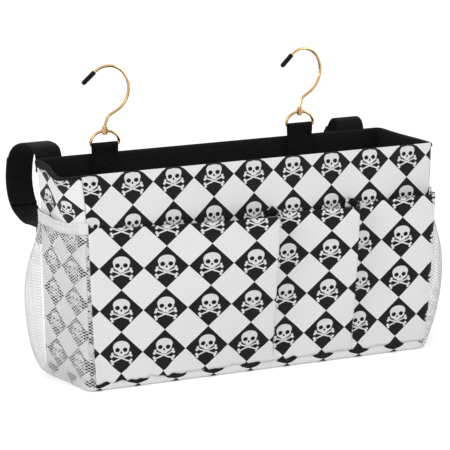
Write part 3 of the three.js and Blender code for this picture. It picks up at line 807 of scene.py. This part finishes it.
def webbing_band(name, spots, middle_x, thickness, width_at, node, body="bag", shift=0.0):
    """A flat band along spots, given as (y, z) in mm, across X. Returns it and its lowest height."""
    rows = len(spots) - 1

    def place(across, up):
        i = round(up * rows)
        ahead = (spots[min(rows, i + 1)] - spots[max(0, i - 1)]).normalized()
        side = Vector((ahead.y, -ahead.x))
        spot = spots[i] + side * shift
        return Vector((middle_x + (0.5 - across) * width_at(spot), spot.x, spot.y))

    def print_at(across, up):
        return across * WEBBING, up * length

    length = sum((b - a).length for a, b in zip(spots, spots[1:]))
    work = flat_grid(10, rows, print_at, place)
    piece = finish_piece(name, work, body=body, thickness=thickness, offset=0)
    edge = piece.modifiers.new("edges", "BEVEL")
    edge.width = WEBBING_EDGE * MM
    edge.segments = 2
    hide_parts(node)
    return piece, min(spot.y for spot in spots)


# %% [markdown]
# A ring tab is one strip of webbing, folded over the straight bar of its ring and sewn flat below
# it. Its path is worked out from the bar: up one ply, half a turn over the bar, and down the other.

# %% The ring tabs
TAB_Y = BAG_DEPTH / 2 - LINING_INSIDE - GAP - WEBBING_THICKNESS - GAP / 2
RING_WIRE = 2.6
BAR_LOOP = RING_WIRE / 2 + GAP + WEBBING_THICKNESS / 2
TAB_DROP = 30
TAB_NARROWING = 9
tabs = {"left": dict(x=-110.7, rise=10), "right": dict(x=86.3, rise=12)}


def ring_tab(side):
    tab = tabs[side]
    bar_z = BAG_HEIGHT + tab["rise"] - BAR_LOOP - WEBBING_THICKNESS / 2
    ply = (WEBBING_THICKNESS + GAP) / 2
    low, top = BAG_HEIGHT - TAB_DROP, bar_z - TAB_NARROWING
    half = [Vector((ply, low + (top - low) * i / 6)) for i in range(7)]
    half += [
        Vector((ply + (BAR_LOOP - ply) * (3 * t * t - 2 * t**3), top + TAB_NARROWING * t))
        for t in (0.25, 0.5, 0.75)
    ]
    over = [
        Vector((BAR_LOOP * math.cos(math.pi * i / 12), bar_z + BAR_LOOP * math.sin(math.pi * i / 12)))
        for i in range(13)
    ]
    back = [Vector((-spot.x, spot.y)) for spot in reversed(half)]
    spots = [spot + Vector((TAB_Y, 0)) for spot in half + over + back]

    def width_at(spot):
        share = min(1, max(0, (spot.y - top) / TAB_NARROWING))
        return WEBBING - share

    return webbing_band(
        f"{side}_tab_webbing", spots, tab["x"], WEBBING_THICKNESS, width_at, f"{side}_ring_tab"
    )


tab_pieces = {side: ring_tab(side) for side in tabs}

# %% [markdown]
# Each strap is two halves that close on each other in a loop behind the bag. The loop is drawn once,
# as shares of its depth and height, and each half takes its part of it. The lower half lies inside
# the upper one, and it rides on its own body, because it peels away.

# %% The straps behind the bag
LOOP_RISE = 9.5
LOOP_DROP = 63
LAP = STRAP_THICKNESS + GAP
ANCHOR_HEIGHT = 16
STRAP_SEAT = BAG_DEPTH / 2 + GAP + STRAP_THICKNESS / 2
straps = {
    "left": dict(
        x=-162, depth=66, upper_end=0.7, lower_start=0.45, body="left_flap",
        shares=[
            (0, 0.69), (0, 0.78), (0.005, 0.86), (0.04, 0.93), (0.12, 0.98), (0.3, 1), (0.52, 0.98),
            (0.76, 0.9), (0.92, 0.77), (0.985, 0.6), (1, 0.42), (0.95, 0.26), (0.84, 0.13),
            (0.64, 0.045), (0.42, 0), (0.2, 0.01),
        ],
    ),
    "right": dict(
        x=145.5, depth=44, upper_end=0.69, lower_start=0.33, body="right_flap",
        shares=[
            (0, 0.69), (0, 0.78), (0.005, 0.87), (0.05, 0.94), (0.14, 0.985), (0.3, 1), (0.44, 0.96),
            (0.56, 0.87), (0.77, 0.7), (0.93, 0.53), (1, 0.37), (0.96, 0.22), (0.8, 0.1),
            (0.56, 0.03), (0.3, 0.01),
        ],
    ),
}
STRAP_STEPS = 88


def strap_pieces(side):
    strap = straps[side]
    bottom = BAG_HEIGHT - LOOP_DROP + STRAP_THICKNESS / 2 + LAP
    height = LOOP_RISE + LOOP_DROP - STRAP_THICKNESS - LAP
    depth = strap["depth"] - STRAP_THICKNESS - LAP
    points = [Vector((STRAP_SEAT + out * depth, bottom + up * height)) for out, up in strap["shares"]]
    points.append(Vector((STRAP_SEAT + STRAP_THICKNESS / 2 + GAP, bottom + 0.012 * height)))
    spots = walk(points, STRAP_STEPS)
    upper = spots[: round(strap["upper_end"] * STRAP_STEPS) + 1]
    lower = spots[round(strap["lower_start"] * STRAP_STEPS):]
    level = spots[-1].y - LAP + STRAP_THICKNESS / 2
    patch = [Vector((STRAP_SEAT, level - ANCHOR_HEIGHT * (1 - i / 8))) for i in range(9)]
    made = {}
    for part, path, node, body, shift in (
        ("upper", upper, "upper_strap", "bag", 0),
        ("lower", lower, "lower_strap", strap["body"], -LAP),
        ("anchor", patch, "strap_anchor", "bag", 0),
    ):
        made[part] = webbing_band(
            f"{side}_{part}_webbing", path, strap["x"], STRAP_THICKNESS, lambda spot: WEBBING,
            f"{side}_{node}", body=body, shift=shift,
        )
    return made


strap_webbing = {side: strap_pieces(side) for side in straps}

# %% [markdown]
# Stitching. A stitch is a small flattened grain of thread, 2.6 mm long, and a row of them follows a
# line of points on the cloth. Each grain is one icosphere of twenty faces, stretched along the line.
# The thread is drawn 0.45 mm thick, a little over its real 0.3 mm, so that it shows.

# %% Rows of stitches
STITCH = 2.6
STITCH_GAP = 0.9
THREAD = 0.45
STITCH_INSET = 3
BOX_INSET = 2.5
TAB_BOX = 19
HEM_STITCH_DROP = 7
ELASTIC_STITCH_INSET = 2.2


def stitch_rows(name, rows, body="bag"):
    """rows are lists of (point, outward direction) in mm. Each row gets evenly spaced stitches."""
    work = bmesh.new()
    for row in rows:
        along = 0
        for (start, out), (end, _) in zip(row, row[1:]):
            span = (end - start).length
            ahead = (end - start).normalized()
            while along < span:
                middle = start + ahead * along
                turn = Matrix((ahead, out.cross(ahead).normalized(), out)).transposed().to_4x4()
                grain = Matrix.Diagonal((STITCH / 2, THREAD / 2, THREAD / 2, 1))
                bmesh.ops.create_icosphere(
                    work, subdivisions=1, radius=1, matrix=Matrix.Translation(middle) @ turn @ grain
                )
                along += STITCH + STITCH_GAP
            along -= span
    return finish_piece(name, work, body=body)


def zigzag(line, out, width):
    """Turns a line of points into a zigzag across it, in a surface that faces out."""
    made = []
    for i, point in enumerate(line):
        ahead = (line[min(len(line) - 1, i + 1)] - line[max(0, i - 1)]).normalized()
        made.append((point + out.cross(ahead) * width * (i % 2 - 0.5), out))
    return made


def box_stitch(middle_x, low, high, y, out):
    """A sewn square with a cross in it, on webbing that lies in the XZ plane."""
    half = WEBBING / 2 - BOX_INSET
    around = ((-1, low), (1, low), (1, high), (-1, high), (-1, low), (1, high))
    across = ((-1, high), (1, low))
    return [
        [(Vector((middle_x + side * half, y, z)), out) for side, z in line] for line in (around, across)
    ]


tab_face = TAB_Y - (WEBBING_THICKNESS + GAP) / 2 - WEBBING_THICKNESS / 2
tab_rows = []
for tab in tabs.values():
    low = BAG_HEIGHT - TAB_DROP + STITCH_INSET
    tab_rows += box_stitch(tab["x"], low, low + TAB_BOX, tab_face, Vector((0, -1, 0)))
tab_stitches = stitch_rows("tab_stitches", tab_rows)

strap_face = STRAP_SEAT + STRAP_THICKNESS / 2
strap_rows = []
for side, strap in straps.items():
    for part, tall in (("upper", 7), ("anchor", 8)):
        low = strap_webbing[side][part][1] + STITCH_INSET
        strap_rows += box_stitch(strap["x"], low, low + tall, strap_face, Vector((0, 1, 0)))
strap_stitches = stitch_rows("strap_stitches", strap_rows)

hem_rows = []
for wall in walls.values():
    inner = Matrix.Rotation(wall["turn"], 3, "Z") @ Vector((0, 1, 0))
    shares = [0.97 * (i / 30 - 1) for i in range(61)]
    hem_rows.append([
        (wall_point(wall, share, BAG_HEIGHT - HEM_STITCH_DROP, LINING_INSIDE + 0.65), inner)
        for share in shares
    ])
hem_stitches = stitch_rows("hem_stitches", hem_rows)

elastic_rows = []
for side in net_bulges:
    sideways = Vector((-1 if side == "left" else 1, 0, 0))
    for level in (ELASTIC_STITCH_INSET, ELASTIC_HEIGHT - ELASTIC_STITCH_INSET):
        line = [
            elastic_point(side, 0.85 * (i / 45 - 1), level / ELASTIC_HEIGHT, 0.1) for i in range(91)
        ]
        elastic_rows.append(zigzag(line, sideways, 2.0))
elastic_stitches = stitch_rows("elastic_stitches", elastic_rows)

seam_rows = []
for share in SEAM_PLACES[1:3]:
    seam_rows.append([
        (pocket_point(share + 0.004, 0.03 + 0.95 * i / 39, CLOTH + 0.1), Vector((0, -1, 0)))
        for i in range(40)
    ])
seam_stitches = stitch_rows("pocket_seam_stitches", seam_rows)

# %% [markdown]
# Materials. Every colour is written as it looks on screen, as an sRGB hex value, and one function
# turns it into the linear values that the shaders use. A second small function adds any node with
# its settings and its links.


# %% Helpers for materials
def linear(hex_colour):
    """An sRGB hex colour such as e4e4e4 as linear red, green, blue and alpha."""
    shares = [int(hex_colour[i:i + 2], 16) / 255 for i in (0, 2, 4)]
    return [s / 12.92 if s <= 0.04045 else ((s + 0.055) / 1.055) ** 2.4 for s in shares] + [1]


def add(tree, kind, inputs=None, **settings):
    """Adds one node with its settings, and feeds its inputs by name or number."""
    made = tree.nodes.new(f"ShaderNode{kind}")
    for name, value in settings.items():
        setattr(made, name, value)
    for key, value in (inputs or {}).items():
        if isinstance(value, bpy.types.NodeSocket):
            tree.links.new(value, made.inputs[key])
        else:
            made.inputs[key].default_value = value
    return made


def new_material(name):
    made = bpy.data.materials.new(name)
    made.use_nodes = True
    tree = made.node_tree
    return made, tree, tree.nodes["Principled BSDF"]


def finish_with(material, pieces):
    """Gives each of the pieces its one material."""
    for piece in pieces:
        piece.data.materials.clear()
        piece.data.materials.append(material)


# %% [markdown]
# The print could be painted as a picture. Formulas stay sharp at any size, so each diamond's figure
# is drawn from ellipses and bars, in mm from the diamond's middle, and mirrored by taking the
# distance to the side without its sign. The cloth is oxford-weave polyester with a dye print, which
# gives a satin, slightly uneven surface and a white that is a little grey.


# %% The printed polyester
WEAVE = 1.2


def printed_polyester():
    made, tree, shader = new_material("printed polyester oxford cloth")
    place = add(tree, "UVMap", uv_map="print").outputs["UV"]
    flat = add(tree, "SeparateXYZ", {0: place})
    half_x, half_y = PRINT_WIDTH / 2, PRINT_HEIGHT / 2
    x = add(tree, "Math", {0: flat.outputs[0], 1: half_x, 2: -half_x}, operation="WRAP").outputs[0]
    y = add(tree, "Math", {0: flat.outputs[1], 1: half_y, 2: -half_y}, operation="WRAP").outputs[0]
    side = add(tree, "Math", {0: x}, operation="ABSOLUTE").outputs[0]
    level = add(tree, "Math", {0: y}, operation="ABSOLUTE").outputs[0]
    wide = add(tree, "Math", {0: side, 1: PRINT_WIDTH}, operation="DIVIDE").outputs[0]
    tall = add(tree, "Math", {0: level, 1: PRINT_HEIGHT}, operation="DIVIDE").outputs[0]
    reach = add(tree, "Math", {0: wide, 1: tall}, operation="ADD").outputs[0]
    diamond = add(tree, "MapRange", {0: reach, 1: 0.497, 2: 0.503, 3: 1, 4: 0}, clamp=True).outputs[0]

    # The skull: a wide crown, a face that narrows below it, and a short jaw. Each part has its
    # middle and its two radii.
    here = add(tree, "CombineXYZ", {0: side, 1: y}).outputs[0]
    parts = (
        ("crown", (0, 5.4), (7.6, 5.4)), ("face", (0, 2.5), (7.0, 4.4)),
        ("cheek", (3.4, 1.4), (2.8, 2.5)), ("jaw", (0, -0.8), (3.2, 2.5)),
        ("eye", (3.5, 2.9), (2.1, 1.9)), ("nose", (0, 0.5), (0.9, 1.1)),
    )
    far = {}
    for name, middle, radii in parts:
        place_of_part = {"Vector": here, "Location": (*middle, 0), "Scale": (*radii, 1)}
        shifted = add(tree, "Mapping", place_of_part, vector_type="TEXTURE").outputs[0]
        far[name] = add(tree, "VectorMath", {0: shifted}, operation="LENGTH").outputs["Value"]
    skull = far["crown"]
    for name in ("face", "cheek", "jaw"):
        skull = add(tree, "Math", {0: skull, 1: far[name]}, operation="MINIMUM").outputs[0]
    head = add(tree, "MapRange", {0: skull, 1: 0.97, 2: 1.03, 3: 1, 4: 0}, clamp=True).outputs[0]
    rim = add(tree, "MapRange", {0: skull, 1: 1.1, 2: 1.16, 3: 1, 4: 0}, clamp=True).outputs[0]
    hollow = add(tree, "Math", {0: far["eye"], 1: far["nose"]}, operation="MINIMUM").outputs[0]
    dark = add(tree, "MapRange", {0: hollow, 1: 0.95, 2: 1.05, 3: 0, 4: 1}, clamp=True).outputs[0]
    head = add(tree, "Math", {0: head, 1: dark}, operation="MULTIPLY").outputs[0]

    # The bones: a bar that crosses its mirror image below the skull, with two knobs at each end.
    drop = add(tree, "Math", {0: y, 1: 4.5}, operation="ADD").outputs[0]
    drop = add(tree, "Math", {0: drop}, operation="ABSOLUTE").outputs[0]
    there = add(tree, "CombineXYZ", {0: side, 1: drop}).outputs[0]
    lean = (0, 0, math.radians(20))
    turned = add(
        tree, "Mapping", {"Vector": there, "Rotation": lean}, vector_type="TEXTURE"
    ).outputs[0]
    bone = add(tree, "SeparateXYZ", {0: turned})
    bar_side = add(tree, "Math", {0: bone.outputs[1]}, operation="ABSOLUTE").outputs[0]
    bar_end = add(tree, "Math", {0: bone.outputs[0], 1: 8.7}, operation="SUBTRACT").outputs[0]
    bar = add(tree, "Math", {0: bar_side, 1: bar_end}, operation="MAXIMUM").outputs[0]
    bar = add(tree, "MapRange", {0: bar, 1: 0.52, 2: 0.74, 3: 1, 4: 0}, clamp=True).outputs[0]
    knob_place = add(tree, "CombineXYZ", {0: bone.outputs[0], 1: bar_side}).outputs[0]
    knob_middle = (9.1, 1.2, 0)
    knob = add(tree, "VectorMath", {0: knob_place, 1: knob_middle}, operation="DISTANCE")
    knob = knob.outputs["Value"]
    knob = add(tree, "MapRange", {0: knob, 1: 1.1, 2: 1.35, 3: 1, 4: 0}, clamp=True).outputs[0]
    bones = add(tree, "Math", {0: bar, 1: knob}, operation="MAXIMUM").outputs[0]
    clear = add(tree, "Math", {0: 1.0, 1: rim}, operation="SUBTRACT").outputs[0]
    bones = add(tree, "Math", {0: bones, 1: clear}, operation="MULTIPLY").outputs[0]
    motif = add(tree, "Math", {0: head, 1: bones}, operation="MAXIMUM").outputs[0]

    # Dyed ground and bare ground. The black is darkest round the figure. Threads of the weave,
    # really 0.4 mm apart, are drawn WEAVE apart so that they show.
    weave = add(tree, "TexChecker", {"Vector": place, "Scale": 2 / WEAVE}).outputs["Fac"]
    inks = {6: linear("090909"), 7: linear("131313")}
    ink = add(tree, "Mix", {0: weave, **inks}, data_type="RGBA").outputs[2]
    ink = add(tree, "Mix", {0: rim, 6: ink, 7: linear("060606")}, data_type="RGBA").outputs[2]
    ink = add(tree, "Mix", {0: motif, 6: ink, 7: linear("dadada")}, data_type="RGBA").outputs[2]
    colour = add(tree, "Mix", {0: diamond, 6: linear("e3e3e3"), 7: ink}, data_type="RGBA").outputs[2]
    tree.links.new(colour, shader.inputs["Base Color"])
    grain = add(tree, "TexNoise", {"Vector": place, "Scale": 0.9, "Detail": 3}).outputs["Fac"]
    relief = add(tree, "Math", {0: weave, 1: grain}, operation="ADD").outputs[0]
    bump = add(tree, "Bump", {"Height": relief, "Strength": 0.12, "Distance": 0.0002})
    tree.links.new(bump.outputs[0], shader.inputs["Normal"])
    uneven = add(tree, "MapRange", {0: grain, 1: 0.3, 2: 0.7, 3: 0.5, 4: 0.64}).outputs[0]
    tree.links.new(uneven, shader.inputs["Roughness"])
    shader.inputs["Specular IOR Level"].default_value = 0.2
    shader.inputs["Sheen Weight"].default_value = 0.05
    shader.inputs["Sheen Roughness"].default_value = 0.4
    return made


finish_with(printed_polyester(), [*outer_cloths.values(), base, pocket, *hem_pieces])

# %% [markdown]
# The other cloths differ in their colour, the pitch of their threads in mm and their gloss, so one
# function makes them all: two crossing waves give the threads, and a slow noise clouds the dye. The
# lining is matt and thin. Webbing has coarse ribs. The knitted net and the braided elastic are a
# clean white, and the sewing thread is a little glossier than what it holds.

# %% The plain cloths, webbing, net and elastic
WAVE_BAND = 0.314


def woven(name, dark, light, pitch, roughness, gloss=0.3, depth=0.0004, uv=True):
    """Crossing threads of two close shades. A Wave texture's band is WAVE_BAND wide at scale 1."""
    made, tree, shader = new_material(name)
    if uv:
        place = add(tree, "UVMap", uv_map="print").outputs["UV"]
        scale = 1
    else:
        place = add(tree, "TexCoord").outputs["Object"]
        scale = 1 / MM
    bands = scale * WAVE_BAND / pitch
    rib = add(tree, "TexWave", {"Vector": place, "Scale": bands, "Distortion": 0.6}).outputs["Fac"]
    cross = add(
        tree, "TexWave", {"Vector": place, "Scale": bands}, bands_direction="Y"
    ).outputs["Fac"]
    threads = add(tree, "Math", {0: rib, 1: cross}, operation="MULTIPLY").outputs[0]
    cloud = add(tree, "TexNoise", {"Vector": place, "Scale": scale * 0.08, "Detail": 4}).outputs["Fac"]
    mixed = add(tree, "Math", {0: threads, 1: cloud}, operation="MULTIPLY").outputs[0]
    shades = {6: linear(dark), 7: linear(light)}
    colour = add(tree, "Mix", {0: mixed, **shades}, data_type="RGBA").outputs[2]
    tree.links.new(colour, shader.inputs["Base Color"])
    bump = add(tree, "Bump", {"Height": threads, "Strength": 0.5, "Distance": depth})
    tree.links.new(bump.outputs[0], shader.inputs["Normal"])
    shader.inputs["Roughness"].default_value = roughness
    shader.inputs["Specular IOR Level"].default_value = gloss
    shader.inputs["Sheen Weight"].default_value = gloss / 10
    return made


lining_material = woven("black polyester lining", "131313", "292929", 1.0, 0.8, 0.1, 0.0001)
webbing_material = woven("black polypropylene webbing", "040404", "121212", 1.6, 0.8, 0.15)
net_material = woven("white knitted polyester net", "e8e8e8", "f8f8f8", 1.2, 0.6, depth=0.0001)
elastic_material = woven("white braided elastic", "d8d8d8", "efefef", 1.4, 0.7)
black_thread = woven("black polyester thread", "0a0a0a", "202020", 0.5, 0.5, uv=False)
white_thread = woven("white polyester thread", "dedede", "f2f2f2", 0.5, 0.5, uv=False)

webbing_bands = list(tab_pieces.values())
for parts in strap_webbing.values():
    webbing_bands += parts.values()
finish_with(lining_material, [*linings.values(), floor])
finish_with(webbing_material, [piece for piece, _ in webbing_bands])
finish_with(net_material, nets.values())
finish_with(elastic_material, elastics.values())
finish_with(black_thread, [tab_stitches, strap_stitches, hem_stitches])
finish_with(white_thread, [elastic_stitches, seam_stitches])
print("cloth finishes:", len(bpy.data.materials))

# %% [markdown]
# The wire of the hooks and rings is bent steel with a thin light gold plating: polished, so it
# mirrors the room, with slightly dull places. The hooks' tips are dipped in matt black rubber. The
# boards inside the walls are extruded polypropylene sheet, which hardly shines. These CAD solids
# have the right shapes, so they stay and only get a finish.


# %% The metal, the rubber and the hidden boards
def plain(name, colour, roughness, metallic=0.0, gloss=0.5, uneven=0.08):
    """A smooth finish whose gloss and shade are uneven in patches about 2.5 mm wide."""
    made, tree, shader = new_material(name)
    place = add(tree, "TexCoord").outputs["Object"]
    cloud = add(tree, "TexNoise", {"Vector": place, "Scale": 400, "Detail": 3}).outputs["Fac"]
    low, high = roughness - uneven, roughness + uneven
    rough = add(tree, "MapRange", {0: cloud, 1: 0.3, 2: 0.7, 3: low, 4: high}).outputs[0]
    tree.links.new(rough, shader.inputs["Roughness"])
    dark = [share * 0.8 for share in linear(colour)[:3]] + [1]
    shade = add(tree, "Mix", {0: cloud, 6: dark, 7: linear(colour)}, data_type="RGBA").outputs[2]
    tree.links.new(shade, shader.inputs["Base Color"])
    shader.inputs["Metallic"].default_value = metallic
    shader.inputs["Specular IOR Level"].default_value = gloss
    return made


gold = plain("light gold plated steel wire", "e9bb82", 0.16, 1.0, uneven=0.05)
rubber = plain("black dipped rubber", "040404", 0.5, gloss=0.15)
board = plain("grey polypropylene sheet", "9a9488", 0.6)
for side in ("left", "right"):
    for node, material in (("d_ring", gold), ("hook", gold), ("hook_tip", rubber)):
        finish_with(material, [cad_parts[f"{side}_{node}"]])
finish_with(board, [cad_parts[f"{part}_board"] for part in ("front", "back", "base")])

# %% [markdown]
# The cloths' cut sizes are printed: their longest ways across and up, as they lie. Each one's area is
# worked out from the finished mesh, because hardly one of them is a rectangle.

# A net's area is that of its threads, without its holes. The threads are a little thinner than they
# are wide, and their sides are counted as half as much again.
NET_SIDES = 1.5


def cloth_area(piece):
    return sum(face.area for face in piece.data.polygons)


sheets = (
    (outer_cloths.values(), "stretched", ["base_cloth"]),
    (linings.values(), "hung", ["floor_lining_cloth"]),
    ([base], "stretched", ["base_board"]),
    ([floor], "laid", ["base_board"]),
    ([pocket], "gathered", ["front_cloth"]),
    (nets.values(), "gathered", ["base_cloth"]),
    (elastics.values(), "stretched", ["left_side_cloth", "right_side_cloth"]),
)
for pieces, held, rests_on in sheets:
    for piece in pieces:
        wide, tall = cuts[piece.name]
        area = cloth_area(piece) * (NET_SIDES if piece in nets.values() else 1)
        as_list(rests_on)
        print(f"{piece.name}: cut {wide / MM:.0f} by {tall / MM:.0f} mm")

# %% [markdown]
# The room: a pale floor, a white backdrop that only the camera and shiny metal see, and three large
# soft lamps. More light would also make the floor white, but it would bleach the cloth, so the floor
# glows a little for the camera alone. It lies a hair below the bag. All lengths here are in metres.

# %% The floor and the light
FLOOR_REACH = 6
FLOOR_DROP = 0.0002
FLOOR_GLOW = 0.36
WORLD_LIGHT = 0.72
BAG_MIDDLE = Vector((0, 0, 0.1))


def make_floor():
    work = bmesh.new()
    bmesh.ops.create_grid(work, x_segments=1, y_segments=1, size=FLOOR_REACH)
    bmesh.ops.translate(work, vec=(0, 0, -FLOOR_DROP), verts=work.verts)
    floor_piece = new_object("studio_floor", work)
    made, tree, shader = new_material("matt white studio paper")
    shader.inputs["Base Color"].default_value = linear("f4f4f4")
    shader.inputs["Roughness"].default_value = 0.9
    shader.inputs["Specular IOR Level"].default_value = 0
    seen = add(tree, "LightPath").outputs["Is Camera Ray"]
    glow = add(tree, "Math", {0: seen, 1: FLOOR_GLOW}, operation="MULTIPLY").outputs[0]
    tree.links.new(glow, shader.inputs["Emission Strength"])
    shader.inputs["Emission Color"].default_value = linear("ffffff")
    finish_with(made, [floor_piece])


make_floor()

world = bpy.data.worlds.new("white studio")
bpy.context.scene.world = world
world.use_nodes = True
sky = world.node_tree
background = sky.nodes["Background"]
rays = add(sky, "LightPath").outputs
seen = add(sky, "Math", {0: rays["Is Camera Ray"], 1: rays["Is Glossy Ray"]}, operation="MAXIMUM")
strength = add(sky, "MapRange", {0: seen.outputs[0], 1: 0, 2: 1, 3: WORLD_LIGHT, 4: 1}).outputs[0]
sky.links.new(strength, background.inputs["Strength"])
background.inputs["Color"].default_value = (1, 1, 1, 1)


def lamp(name, place, size, power):
    """A square lamp that faces the middle of the bag. The power is in watts."""
    data = bpy.data.lights.new(name, "AREA")
    data.size = size
    data.energy = power
    made = bpy.data.objects.new(name, data)
    made.location = place
    made.rotation_euler = (BAG_MIDDLE - Vector(place)).to_track_quat("-Z", "Y").to_euler()
    bpy.context.scene.collection.objects.link(made)


lamp("left lamp", (-2.0, -0.7, 1.0), 1.0, 15)
lamp("right lamp", (1.9, -0.9, 0.8), 1.0, 7)
lamp("front lamp", (-0.7, -2.0, 1.2), 1.2, 5.5)

# %% [markdown]
# The camera stands to the left of the bag and a little above it. Its place was fitted to the edges
# of the bag in the photograph, and its lens is given in pixels of a picture 450 pixels wide.

# %% The camera
AZIMUTH = math.radians(-28.27)
ELEVATION = math.radians(11.67)
ROLL = math.radians(-0.12)
DISTANCE = 2.6475
SIDE = -0.01141
RISE = 0.12242
FOCAL_PIXELS = 2975
PICTURE_PIXELS = 450
back = Vector((
    math.sin(AZIMUTH) * math.cos(ELEVATION),
    -math.cos(AZIMUTH) * math.cos(ELEVATION),
    math.sin(ELEVATION),
))
right = Vector((math.cos(AZIMUTH), math.sin(AZIMUTH), 0))
lens = bpy.data.cameras.new("camera")
lens.sensor_width = 36
lens.lens = FOCAL_PIXELS * lens.sensor_width / PICTURE_PIXELS
camera = bpy.data.objects.new("camera", lens)
bpy.context.scene.collection.objects.link(camera)
camera.location = right * SIDE + Vector((0, 0, RISE)) + back * DISTANCE
turned = (-back).to_track_quat("-Z", "Y").to_matrix() @ Matrix.Rotation(-ROLL, 3, "Z")
camera.rotation_euler = turned.to_euler()
bpy.context.scene.camera = camera
bpy.context.scene.view_settings.view_transform = "Standard"
print("lens:", round(lens.lens, 1), "mm")
